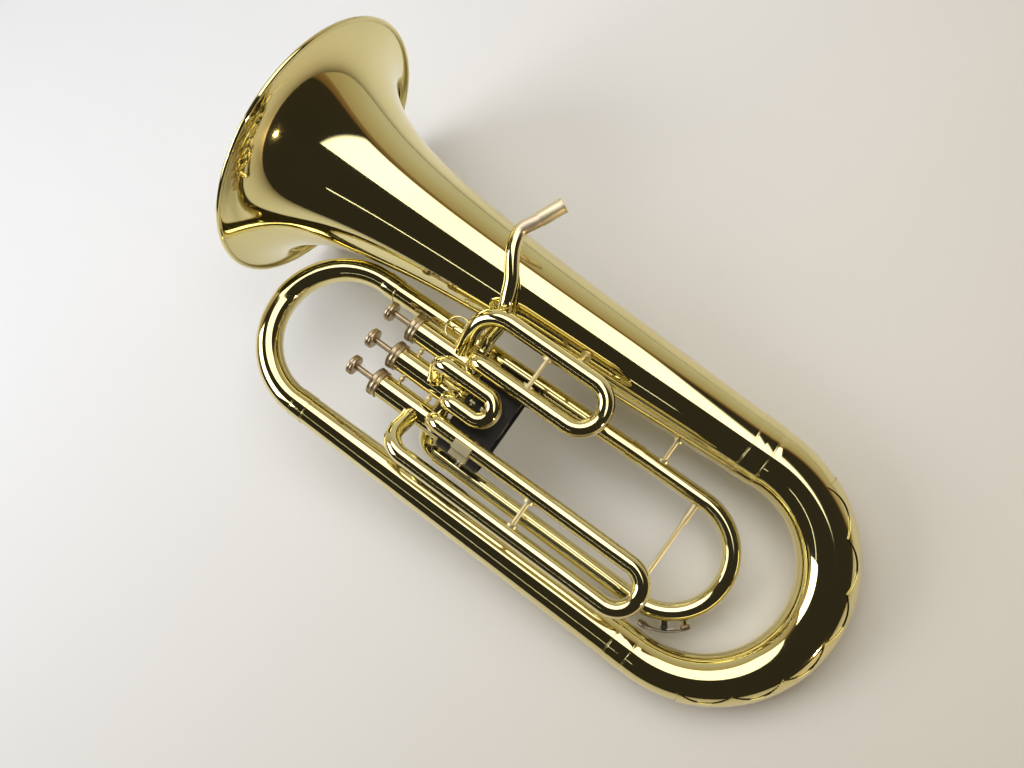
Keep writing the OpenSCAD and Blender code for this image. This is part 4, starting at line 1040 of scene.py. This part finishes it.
@dataclass
class Ferrules:
    """The beaded sleeves over the joins of the large tubing."""

    bell: Bell
    bows: Bows
    half: float = 0.0105
    top_half: float = 0.008
    wall: float = 0.0005
    seat: float = 0.00005
    lean: float = 0.00025
    bead: float = 0.0011
    groove: float = 0.00018
    corner: float = 0.0004
    corner_steps: int = 3
    spin_steps: int = 96

    def sleeve(self, half: float, radii: tuple[float, float, float]) -> Shape:
        """Turns a sleeve with a bead and a groove at each end.

        Args:
            half: Half of its length.
            radii: Radii of the tubes under its start, middle and end.

        Returns:
            The sleeve, with Z along the tube.
        """
        start, middle, end = radii
        wall, bead, groove = self.wall, self.bead, self.groove
        outline = [
            (start + self.seat, -half), (start + wall, -half), (start + wall, bead - half),
            (start + wall - groove, bead + groove - half), (start + wall, bead + 2 * groove - half),
            (middle + wall, 0.0),
            (end + wall, half - bead - 2 * groove), (end + wall - groove, half - bead - groove),
            (end + wall, half - bead), (end + wall, half), (end + self.seat, half), (middle + self.seat, 0.0),
        ]
        return turned(rounded(outline, self.corner, self.corner_steps), self.spin_steps, closed=True)

    def build(self, shop: Workshop) -> None:
        """Builds the ferrules of the bell, the outer branch and the top bow.

        Args:
            shop: The workshop that makes the pieces.
        """
        bows, bell = self.bows, self.bell
        depth, top_depth = bell.depth, bows.top_bow_depth + bows.top_bow_lead
        throat = bell.radius(depth)
        bow_r, branch_r = bows.bow_small_d / 2, bows.branch_small_d / 2
        top_r = bows.top_bow_small_d / 2 + self.lean
        branch_shrink = (bow_r - branch_r) / (depth - top_depth)
        bow_shrink = bows.shrink(bows.bottom_stations())
        top_shrink = bows.shrink(bows.top_stations())
        branch_y, inner_y, back = bows.branch_y, bows.inner_branch_y, -bows.inner_branch_back
        half, top_half = self.half, self.top_half
        bell_radii = (bell.radius(depth - half), throat, throat)
        branch_radii = (bow_r - branch_shrink * half, bow_r, bow_r + bow_shrink * half)
        outer_radii = (branch_r, branch_r, branch_r + branch_shrink * top_half)
        inner_radii = (top_r + top_shrink * top_half, top_r, top_r)
        sleeves = (
            ("bell", half, bell_radii, 0.0, 0.0, depth, "bell_ferrule"),
            ("branch", half, branch_radii, branch_y, 0.0, depth, "branch_ferrule"),
            ("outer", top_half, outer_radii, branch_y, 0.0, top_depth, "top_bow_ferrules"),
            ("inner", top_half, inner_radii, inner_y, back, top_depth, "top_bow_ferrules"),
        )
        for name, length, radii, y, z, place, node in sleeves:
            shop.piece(
                f"{name}_sleeve", self.sleeve(length, radii), shop.finishes.brass, Body.HORN, [node],
                depth_frame(y, z, place),
            )


@dataclass
class ValveTrim:
    """The knurled caps and the finger buttons of the three valves."""

    first_y: float = 0.0904
    pitch: float = 0.0312
    z: float = 0.020
    top: float = 0.192
    bottom: float = 0.321
    cap_plate: float = 0.0024
    casing_r: float = 0.01234
    seat: float = 0.00005
    top_cap_d: float = 0.0286
    bottom_cap_d: float = 0.0268
    cap_h: float = 0.010
    flange: float = 0.0056
    neck: float = 0.0007
    edge_in: float = 0.0018
    edge_down: float = 0.0012
    lip_slope: float = 0.0016
    lip_h: float = 0.0012
    cap_corner: float = 0.0005
    stem_d: float = 0.006
    stem_gap: float = 0.0004
    stem_show: float = 0.024
    button_d: float = 0.020
    button_t: float = 0.0042
    button_skirt: float = 0.0028
    button_dish: float = 0.0010
    button_rim: float = 0.0026
    button_edge: float = 0.0006
    button_round: float = 0.0016
    button_hub: float = 0.0016
    button_play: float = 0.0001
    button_corner: float = 0.0008
    button_sides: int = 64
    knurls: int = 56
    knurl_depth: float = 0.0003
    knurl_start: float = 0.0015
    knurl_stop: float = 0.0003
    vent_r: float = 0.002

    def valve_y(self, valve: int) -> float:
        """Returns the distance of a valve from the bell's axis."""
        return self.first_y + valve * self.pitch

    def cap(self, diameter: float, hole_r: float) -> Shape:
        """Turns a cap and knurls its flange.

        Args:
            diameter: The cap's diameter.
            hole_r: Radius of the hole in its plate.

        Returns:
            The cap, with its plate at zero and its skirt along +Z.
        """
        r, h = diameter / 2, self.cap_h
        flange, neck = self.flange, self.neck
        inner = self.casing_r + self.seat
        outline = rounded(
            [
                (hole_r, self.cap_plate / 2), (hole_r, 0.0), (r - self.edge_in, 0.0), (r, self.edge_down),
                (r, flange), (r - neck, flange + neck), (r - neck, h - self.lip_slope),
                (r - neck / 2, h - self.lip_h), (r - neck / 2, h), (inner, h), (inner, self.cap_plate),
                (hole_r, self.cap_plate),
            ],
            self.cap_corner,
        )
        bm = turned(outline, 2 * self.knurls, closed=True)
        step = math.tau / (2 * self.knurls)
        ridges = [
            vert for vert in bm.verts
            if self.knurl_start < vert.co.z < flange - self.knurl_stop
            and math.hypot(vert.co.x, vert.co.y) > r - MERGE * 10
            and round(math.atan2(vert.co.y, vert.co.x) / step) % 2
        ]
        shrink = 1 - self.knurl_depth / r
        bmesh.ops.scale(bm, vec=(shrink, shrink, 1.0), verts=ridges)
        return bm

    def button(self) -> Shape:
        """Turns a dished finger button.

        Returns:
            The button, with its hub at zero and its face towards -Z.
        """
        r, t, dish, edge = self.button_d / 2, self.button_t, self.button_dish, self.button_edge
        skirt, stem_r = self.button_skirt, self.stem_d / 2
        outline = [
            (0.0, dish - t), (r * 0.6, dish * 0.9 - t), (r - self.button_rim, -t), (r - edge, edge / 2 - t),
            (r, self.button_round - t), (r, -2 * edge), (r - edge, -edge), (r, 0.0), (r, skirt - 2 * edge),
            (r - dish, skirt), (stem_r + self.button_hub, skirt), (stem_r + self.button_play, skirt + edge),
        ]
        return turned(rounded(outline, self.button_corner), self.button_sides)

    def build(self, shop: Workshop) -> None:
        """Builds the caps and buttons of the three valves.

        Args:
            shop: The workshop that makes the pieces.
        """
        nickel = shop.finishes.satin_nickel
        for valve, body in enumerate(VALVE_BODIES):
            y = self.valve_y(valve)
            top = self.cap(self.top_cap_d, self.stem_d / 2 + self.stem_gap)
            shop.piece(
                f"top_cap_{valve + 1}", top, nickel, Body.HORN, ["top_caps"], depth_frame(y, self.z, self.top)
            )
            turned_over = Matrix.Rotation(math.pi, 4, "X")
            bottom = self.cap(self.bottom_cap_d, self.vent_r)
            shop.piece(
                f"bottom_cap_{valve + 1}", bottom, nickel, Body.HORN, ["bottom_caps"],
                depth_frame(y, self.z, self.bottom) @ turned_over,
            )
            shop.piece(
                f"finger_button_{valve + 1}", self.button(), nickel, body, [f"button_{valve + 1}"],
                depth_frame(y, self.z, self.top - self.stem_show),
            )


@dataclass
class HandGuard:
    """The leather guard round the valves, with its stitching and press studs."""

    trim: ValveTrim
    inner_r: float = 0.0137
    leather_t: float = 0.0018
    height: float = 0.046
    bottom: float = 0.3235
    turn_sides: int = 48
    straight_cuts: int = 23
    rows: int = 16
    crease: float = 0.00025
    crease_scale: float = 90.0
    edge_bevel: float = 0.0004
    stitch_pitch: float = 0.0046
    stitch_l: float = 0.0030
    stitch_r: float = 0.00035
    stitch_inset: float = 0.0032
    stitch_sides: int = 6
    stitch_round: float = 0.5
    stitch_point: float = 0.6
    stud_r: float = 0.0031
    stud_h: float = 0.0013
    stud_shares: tuple[float, ...] = (0.70, 0.44, 0.17)
    stud_run: float = -0.2
    stud_corner: float = 0.0005
    stud_sides: int = 32

    @property
    def half_run(self) -> float:
        """Half of the straight run beside the valves."""
        return self.trim.pitch

    @property
    def middle_y(self) -> float:
        """Distance of the guard's middle from the bell's axis."""
        return self.trim.valve_y(1)

    @property
    def girth(self) -> float:
        """Length of leather round the valves, along its middle."""
        return 4 * self.half_run + math.tau * (self.inner_r + self.leather_t / 2)

    def hide(self) -> Shape:
        """Bends the leather round the valves and creases it.

        Returns:
            The guard's inside, with Z along the depth and the middle valve at the origin.
        """
        bm = bmesh.new()
        bmesh.ops.create_circle(bm, radius=self.inner_r, segments=self.turn_sides)
        turn = Matrix.Rotation(math.pi / self.turn_sides, 4, "Z")
        bmesh.ops.transform(bm, matrix=turn, verts=bm.verts[:])
        for side in (-1.0, 1.0):
            outer = [vert for vert in bm.verts if vert.co.y * side > 0]
            bmesh.ops.translate(bm, vec=(0.0, side * self.half_run, 0.0), verts=outer)
        runs = [edge for edge in bm.edges if edge.calc_length() > self.half_run]
        bmesh.ops.subdivide_edges(bm, edges=runs, cuts=self.straight_cuts)
        edges = bm.edges[:]
        for _ in range(self.rows):
            verts, edges = extruded(bm, edges)
            bmesh.ops.translate(bm, vec=(0.0, 0.0, self.height / self.rows), verts=verts)
        bmesh.ops.recalc_face_normals(bm, faces=bm.faces[:])
        bm.normal_update()
        for vert in bm.verts:
            lift = 0.5 + 0.5 * noise.noise(vert.co * self.crease_scale)
            vert.co += vert.normal * self.crease * lift
        return bm

    def along(self, run: float, height: float, lift: float) -> Matrix:
        """Returns the frame of a place on the guard's outside.

        Args:
            run: Distance round the guard, from the middle of its front.
            height: Distance from its top edge.
            lift: Distance from the leather's inside.

        Returns:
            A frame with X along the guard and Z outwards.
        """
        r = self.inner_r + lift
        quarter = math.pi * self.inner_r
        stretch = 2 * self.half_run
        spot = (run + self.half_run) % (2 * (stretch + quarter))
        back = spot >= stretch + quarter
        spot -= (stretch + quarter) * back
        outwards = Matrix.Rotation(math.pi / 2, 4, "Y")
        if spot < stretch:
            frame = Matrix.Translation((r, spot - self.half_run, height)) @ outwards
        else:
            swing = Matrix.Rotation((spot - stretch) / self.inner_r, 4, "Z")
            frame = Matrix.Translation((0.0, self.half_run, height)) @ swing
            frame = frame @ Matrix.Translation((r, 0.0, 0.0)) @ outwards
        return Matrix.Rotation(math.pi * back, 4, "Z") @ frame

    def stitching(self) -> Shape:
        """Sews a row of stitches along each edge.

        Returns:
            The stitches, in the guard's frame.
        """
        bm = bmesh.new()
        around = 4 * self.half_run + math.tau * self.inner_r
        count = round(around / self.stitch_pitch)
        lie = Matrix.Rotation(math.pi / 2, 4, "X")
        sides, r = self.stitch_sides, self.stitch_r
        for height in (self.stitch_inset, self.height - self.stitch_inset):
            for stitch in range(count):
                place = self.along(around * stitch / count, height, self.leather_t + self.crease)
                made = bmesh.ops.create_cone(
                    bm, cap_ends=True, segments=sides, radius1=r, radius2=r, depth=self.stitch_l,
                    matrix=place @ lie,
                )
                ends = [
                    face for face in bm.faces if len(face.verts) == sides and face.verts[0] in made["verts"]
                ]
                bmesh.ops.inset_individual(
                    bm, faces=ends, thickness=r * self.stitch_round, depth=r * self.stitch_point
                )
        return bm

    def stud(self) -> Shape:
        """Turns a domed press stud with a rolled edge.

        Returns:
            The stud, with its foot at zero and its dome along +Z.
        """
        r, h = self.stud_r, self.stud_h
        outline = [(0.0, h), (r * 0.45, h * 0.96), (r * 0.8, h * 0.62), (r, h * 0.45), (r, 0.0), (0.0, 0.0)]
        return turned(rounded(outline, self.stud_corner), self.stud_sides)

    def build(self, shop: Workshop) -> None:
        """Builds the guard, its stitching and its studs.

        Args:
            shop: The workshop that makes the pieces.
        """
        frame = depth_frame(self.middle_y, self.trim.z, self.bottom - self.height)
        hide = shop.piece(
            "guard_leather", self.hide(), shop.finishes.leather, Body.HORN, ["hand_guard"], frame,
            wall=-self.leather_t, bevel=self.edge_bevel,
        )
        shop.piece("guard_stitching", self.stitching(), shop.finishes.thread, Body.HORN, frame=frame)
        for count, share in enumerate(self.stud_shares):
            run, height = self.half_run * self.stud_run, self.height * share
            spot = self.along(run, height, self.leather_t + self.crease)
            shop.piece(
                f"guard_stud_{count + 1}", self.stud(), shop.finishes.stud, Body.HORN, ["guard_snaps"],
                frame @ spot,
            )


@dataclass
class WaterKey:
    """The sprung key under the tuning bow: a bowed lever with a spoon and a cup, on a wound spring."""

    turn_depth: float = 0.510
    middle_y: float = 0.122
    z: float = -0.010
    pivot_angle: float = 30.0
    pivot_out: float = 0.06945
    cup_angle: float = 46.0
    cup_out: float = 0.07105
    cup_lip: float = 0.001
    cup_h: float = 0.002
    cup_wall: float = 0.0008
    cup_play: float = 0.00005
    cup_corner: float = 0.0008
    cup_sides: int = 40
    cork_r: float = 0.004
    barrel_r: float = 0.0028
    barrel_half: float = 0.0026
    barrel_waist: float = 0.86
    barrel_corner: float = 0.0003
    barrel_sides: int = 32
    bore_r: float = 0.00105
    # Angle along the bow, distance from its centre and half width of the lever at places along it.
    lever_marks: tuple[tuple[float, float, float], ...] = (
        (10.3, 0.0708, 0.0006), (11.1, 0.0713, 0.0014), (13.2, 0.0720, 0.0019), (16.2, 0.0727, 0.0019),
        (19.5, 0.0733, 0.0016), (24.0, 0.0738, 0.0014), (30.0, 0.0740, 0.0014), (38.0, 0.0737, 0.0012),
        (44.0, 0.0732, 0.0011), (48.5, 0.0726, 0.0010), (49.5, 0.0723, 0.0005),
    )
    lever_steps: int = 5
    lever_sides: int = 16
    spread: float = 2.2
    spoon_angle: float = 15.0
    spoon_out: float = 0.0725
    spoon_starts: tuple[float, ...] = (21.0, 19.0, 17.0)
    spoon_tilt: float = math.radians(38)
    wire_r: float = 0.0003
    coil_turns: float = 2.5
    coil_gap: float = 0.0011
    coil_steps: int = 20
    coil_pitch: float = 2.1
    arm_l: float = 0.009
    wire_sides: int = 8

    def place(self, degrees: float, out: float, lift: float = 0.0) -> Vector:
        """Returns a point beside the tuning bow.

        Args:
            degrees: Its angle along the bow, from the lower leg.
            out: Its distance from the bow's centre.
            lift: Its distance in front of the bow's middle.

        Returns:
            The point.
        """
        angle = math.radians(degrees)
        depth = self.turn_depth + out * math.sin(angle)
        return at(depth, self.middle_y + out * math.cos(angle), self.z + lift)

    def lever(self) -> Shape:
        """Sweeps the lever over the barrel and flattens it into a spoon and a strap.

        Returns:
            The lever.
        """
        steps = self.lever_steps
        walk = smooth_walk([self.place(degrees, out) for degrees, out, _ in self.lever_marks], steps)
        widths = smooth_walk([Vector((width, 0.0, 0.0)) for _, _, width in self.lever_marks], steps)
        stations = [Station(point, heading, width.x) for (point, heading), (width, _) in zip(walk, widths)]
        bm = swept_tube(stations, self.lever_sides)
        fill_ends(bm)
        middle = Matrix.Translation((0.0, 0.0, self.z))
        widen = Matrix.Scale(self.spread, 4, (0.0, 0.0, 1.0))
        bmesh.ops.transform(bm, matrix=middle @ widen @ middle.inverted(), verts=bm.verts[:])
        angle, out = self.spoon_angle, self.spoon_out
        point, heading = self.place(angle, out), self.place(angle + 1.0, out) - self.place(angle - 1.0, out)
        tilt = Matrix.Rotation(self.spoon_tilt / len(self.spoon_starts), 3, heading)
        for start in self.spoon_starts:
            edge = self.place(start, out)
            spoon = [vert for vert in bm.verts if (vert.co - edge).dot(heading) < 0]
            bmesh.ops.rotate(bm, cent=point, matrix=tilt, verts=spoon)
        bmesh.ops.recalc_face_normals(bm, faces=bm.faces[:])
        return bm

    def cup(self) -> Shape:
        """Turns the cup that holds the cork.

        Returns:
            The cup, with its mouth towards -Z.
        """
        r, inner, lip, h = self.cork_r + self.cup_wall, self.cork_r + self.cup_play, self.cup_lip, self.cup_h
        outline = [
            (0.0, 0.0), (inner, 0.0), (inner, -lip), (r, -lip), (r, h * 0.4), (r * 0.7, h), (0.0, h),
        ]
        return turned(rounded(outline, self.cup_corner), self.cup_sides)

    def barrel(self) -> Shape:
        """Turns the hinge barrel, with its ends beaded.

        Returns:
            The barrel, with Z along its bore.
        """
        r, half, bore = self.barrel_r, self.barrel_half, self.bore_r
        waist = r * self.barrel_waist
        outline = [
            (bore, -half), (r, -half), (r, -half * 0.8), (waist, -half * 0.7),
            (waist, half * 0.7), (r, half * 0.8), (r, half), (bore, half),
        ]
        return turned(rounded(outline, self.barrel_corner), self.barrel_sides, closed=True)

    def spring(self, side: float) -> Shape:
        """Winds one half of the spring round the barrel, with an arm along the lever.

        Args:
            side: 1 for the front half, or -1 for the back half.

        Returns:
            The wound wire.
        """
        centre = self.place(self.pivot_angle, self.pivot_out)
        out = (centre - self.place(self.pivot_angle, 0.0)).normalized()
        along = (self.place(self.cup_angle, self.pivot_out) - centre).normalized()
        coil_r = self.barrel_r + self.wire_r
        steps = round(self.coil_turns * self.coil_steps)
        points = []
        for step in range(steps + 1):
            turn = math.tau * step / self.coil_steps
            lift = side * (self.coil_gap + self.coil_pitch * self.wire_r * step / self.coil_steps)
            arm = out * math.cos(turn) - along * math.sin(turn)
            points.append(centre + arm * coil_r + Vector((0.0, 0.0, lift)))
        arm_end = points[0] + along * self.arm_l
        walk = smooth_walk([arm_end, (arm_end + points[0]) / 2, *points], 2)
        bm = swept_tube(tapered(walk, self.wire_r, self.wire_r), self.wire_sides)
        fill_ends(bm)
        bmesh.ops.recalc_face_normals(bm, faces=bm.faces[:])
        return bm

    def build(self, shop: Workshop) -> None:
        """Builds the lever, the cup, the barrel and the spring.

        Args:
            shop: The workshop that makes the pieces.
        """
        nickel, body = shop.finishes.key_nickel, Body.WATER_KEY
        shop.piece("key_lever", self.lever(), nickel, body, ["water_key"])
        out = self.place(self.cup_angle, 1.0) - self.place(self.cup_angle, 0.0)
        cup_frame = axis_frame(self.place(self.cup_angle, self.cup_out), out)
        shop.piece("key_cup", self.cup(), nickel, body, ["water_key"], cup_frame)
        barrel_frame = Matrix.Translation(self.place(self.pivot_angle, self.pivot_out))
        shop.piece("key_barrel", self.barrel(), nickel, body, ["water_key"], barrel_frame)
        for name, side in (("front", 1.0), ("back", -1.0)):
            shop.piece(f"key_spring_{name}", self.spring(side), shop.finishes.steel, body)


@dataclass
class PlainParts:
    """The pieces of the frame that stay in view."""

    brass: tuple[str, ...] = ("outer_branch", "inner_branch")
    ferrules: tuple[str, ...] = ("sleeve_ferrules",)
    drawn: tuple[str, ...] = (
        "tuning_sleeves", "outlet_elbow", "casing_1", "casing_2", "casing_3", "casing_knuckles",
        "first_crook", "first_elbow", "second_elbows", "third_elbow", "third_crook", "first_sleeves",
        "second_sleeves", "third_sleeves", "thumb_ring",
        "first_slide", "second_slide", "third_slide", "tuning_slide", "key_saddle",
    )
    rubbed: tuple[str, ...] = ("lyre_socket", "pull_rod", "sleeve_braces", "bell_braces", "casing_posts")
    nickel: tuple[str, ...] = ("stem_1", "stem_2", "stem_3")
    key: tuple[str, ...] = ("key_screw", "lyre_screw")
    plated: tuple[str, ...] = ("piston_1", "piston_2", "piston_3")
    steel: tuple[str, ...] = ("valve_spring_1", "valve_spring_2", "valve_spring_3")

    def build(self, shop: Workshop) -> None:
        """Gives each node its finish.

        Args:
            shop: The workshop that makes the pieces.
        """
        finishes = shop.finishes
        shop.dress(finishes.brass, *self.brass, *self.ferrules)
        shop.dress(finishes.drawn_brass, *self.drawn)
        shop.dress(finishes.rubbed_brass, *self.rubbed)
        shop.dress(finishes.satin_nickel, *self.nickel)
        shop.dress(finishes.key_nickel, *self.key)
        shop.dress(finishes.plate, *self.plated)
        shop.dress(finishes.steel, *self.steel)
        shop.dress(finishes.cork, "key_cork")
        shop.dress(finishes.felt, "cap_felts")


@dataclass(frozen=True)
class Softbox:
    """A large soft lamp."""

    name: str
    place: Vector
    aim: Vector
    width: float
    height: float
    power: float
    colour: Colour
    cuts: tuple[tuple[Vector, Vector], ...] = ()
    soft: float = 0.06
    mirrored: bool = True

    def shape(self, lamp: bpy.types.AreaLight) -> None:
        """Cuts the lamp's sheet along lines.

        Args:
            lamp: The lamp.
        """
        lamp.use_nodes = True
        sheet = NodeSheet(lamp.node_tree)
        place = sheet.add("NewGeometry").outputs["Position"]
        glow = sheet.add("Emission")
        strength = glow.inputs["Strength"]
        for point, inward in self.cuts:
            edge = point.dot(inward)
            share = sheet.step(place, inward, edge - self.soft, edge + self.soft)
            part = sheet.add("Math")
            part.operation = "MULTIPLY"
            part.inputs[1].default_value = 1.0
            sheet.link(share, part.inputs[0])
            sheet.link(part.outputs["Value"], strength)
            strength = part.inputs[1]
        sheet.link(glow.outputs["Emission"], sheet.add("OutputLight").inputs["Surface"])

    def build(self) -> None:
        """Hangs the lamp."""
        lamp = bpy.data.lights.new(self.name, "AREA")
        lamp.shape = "RECTANGLE"
        lamp.size = self.width
        lamp.size_y = self.height
        lamp.energy = self.power
        lamp.color = self.colour
        if self.cuts:
            self.shape(lamp)
        hung = bpy.data.objects.new(self.name, lamp)
        hung.matrix_world = axis_frame(self.place, self.place - self.aim)
        hung.visible_camera = False
        hung.visible_glossy = self.mirrored
        bpy.context.scene.collection.objects.link(hung)


@dataclass
class Studio:
    """The table, the room and its lamps."""

    floor_half: float = 2.4
    # Painted light: the table's two tones stand in for cooler light towards the bell and warmer, dimmer light
    # towards the bow.
    floor_cool_painted_light: Colour = (0.81, 0.82, 0.85)
    floor_warm_painted_light: Colour = (0.78, 0.73, 0.64)
    floor_fade: float = 0.6
    floor_tiles: int = 8
    paper_scale: float = 700.0
    paper_depth: float = 0.00005
    paper_roughness: float = 0.7
    pale_side: Vector = field(default_factory=lambda: Vector((0.8, -1.0, -1.0)))
    room: tuple[tuple[float, Colour], ...] = (
        (0.00, (0.030, 0.027, 0.022)), (0.41, (0.036, 0.030, 0.023)), (0.43, (0.16, 0.095, 0.042)),
        (0.495, (0.25, 0.16, 0.075)), (0.515, (0.40, 0.33, 0.20)), (0.70, (0.48, 0.43, 0.31)),
        (0.95, (0.56, 0.55, 0.48)),
    )
    aim: Vector = field(default_factory=lambda: Vector((0.0, 0.0, 0.08)))

    def floor(self) -> None:
        """Lays the table's pale top, with painted light: its tone runs from cooler towards the bell to warmer
        and darker towards the bow.
        """
        bm = bmesh.new()
        tiles = self.floor_tiles
        bmesh.ops.create_grid(bm, x_segments=tiles, y_segments=tiles, size=self.floor_half)
        mesh = bpy.data.meshes.new("table_top")
        bm.to_mesh(mesh)
        bm.free()
        top = bpy.data.objects.new("table_top", mesh)
        bpy.context.scene.collection.objects.link(top)
        material, sheet, shader = new_material("pale_paper")
        place = sheet.place()
        # Painted light: the tone ramp along X stands in for the room's uneven light on the table.
        side = sheet.step(place, Vector((1.0, 0.0, 0.0)), -self.floor_fade, self.floor_fade)
        tone = sheet.ramp(side, [(0.0, self.floor_warm_painted_light), (1.0, self.floor_cool_painted_light)])
        sheet.link(tone, shader.inputs["Base Color"])
        fibres = sheet.noise(place, self.paper_scale, detail=4.0)
        sheet.link(sheet.bump(fibres, self.paper_depth), shader.inputs["Normal"])
        shader.inputs["Roughness"].default_value = self.paper_roughness
        mesh.materials.append(material)

    def walls(self) -> None:
        """Gives the room pale walls on one side and a dark ceiling and far end."""
        world = bpy.data.worlds.new("room")
        world.use_nodes = True
        sheet = NodeSheet(world.node_tree)
        way = sheet.add("TexCoord").outputs["Generated"]
        tone = sheet.ramp(sheet.step(way, self.pale_side, -1.0, 1.0), self.room)
        background = sheet.add("Background", Strength=1.0)
        sheet.link(tone, background.inputs["Color"])
        sheet.link(background.outputs["Background"], sheet.add("OutputWorld").inputs["Surface"])
        bpy.context.scene.world = world

    def build(self) -> None:
        """Builds the table, the room and the lamps."""
        self.floor()
        self.walls()
        lamps = (
            Softbox(
                "ceiling_panel", Vector((0.0, -0.8, 1.6)), Vector((0.0, -0.8, 0.0)),
                width=2.6, height=1.64, power=29.0, colour=(1.0, 0.99, 0.97),
                cuts=(
                    (Vector((-0.79, -0.57, 1.6)), Vector((0.91, 0.416, 0.0))),
                    (Vector((0.14, -1.2, 1.6)), Vector((-0.42, 0.91, 0.0))),
                ),
            ),
            Softbox(
                "window", Vector((1.25, 1.05, 1.25)), self.aim,
                width=1.3, height=0.9, power=18.0, colour=(0.96, 0.98, 1.0),
            ),
            Softbox(
                "fill", Vector((0.65, 0.1, 1.4)), Vector((0.65, 0.1, 0.0)),
                width=2.0, height=1.6, power=6.5, colour=(1.0, 0.99, 0.97), mirrored=False,
            ),
            Softbox(
                "tube_lamp", Vector((0.15, 1.62, 1.50)), self.aim,
                width=1.5, height=0.035, power=0.5, colour=(1.0, 1.0, 0.96),
            ),
            Softbox(
                "bulb", Vector((-2.9, 0.5, 0.5)), self.aim,
                width=0.12, height=0.12, power=14.0, colour=(1.0, 0.76, 0.44),
            ),
        )
        for lamp in lamps:
            lamp.build()


@dataclass
class PhotoCamera:
    """The camera at the photograph's place, in the horn frame."""

    eye: Vector = field(default_factory=lambda: Vector((-0.4227, 0.0806, 0.7848)))
    forward: Vector = field(default_factory=lambda: Vector((0.15460, 0.0, -0.98798)))
    right: Vector = field(default_factory=lambda: Vector((-0.80657, -0.57751, -0.12622)))
    lens_mm: float = 29.18
    sensor_mm: float = 36.0
    nearest: float = 0.01

    def build(self, horn: HornFrame) -> None:
        """Sets up the camera.

        Args:
            horn: The horn's frame.
        """
        camera = bpy.data.cameras.new("photo_camera")
        camera.lens = self.lens_mm
        camera.sensor_width = self.sensor_mm
        camera.clip_start = self.nearest
        set_up = bpy.data.objects.new("photo_camera", camera)
        bpy.context.scene.collection.objects.link(set_up)
        back = -self.forward.normalized()
        side = (self.right - self.right.dot(back) * back).normalized()
        turn = Matrix((side, back.cross(side), back)).transposed().to_4x4()
        set_up.matrix_world = horn.matrix @ Matrix.Translation(self.eye) @ turn
        bpy.context.scene.camera = set_up


def main() -> None:
    """Builds and dresses the horn, then the studio and the camera."""
    logging.basicConfig(level=logging.INFO, format="%(name)s: %(message)s")
    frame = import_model()
    shop = Workshop(frame)
    bell = Bell()
    trim = ValveTrim()
    bows = Bows()
    for assembly in (
        bell, bows, Ferrules(bell, bows), Leadpipe(bell), trim, HandGuard(trim), WaterKey(), PlainParts(),
    ):
        assembly.build(shop)
    Studio().build()
    PhotoCamera().build(shop.horn)
    bpy.context.scene.view_settings.view_transform = "Standard"


if __name__ == "__main__":
    main()
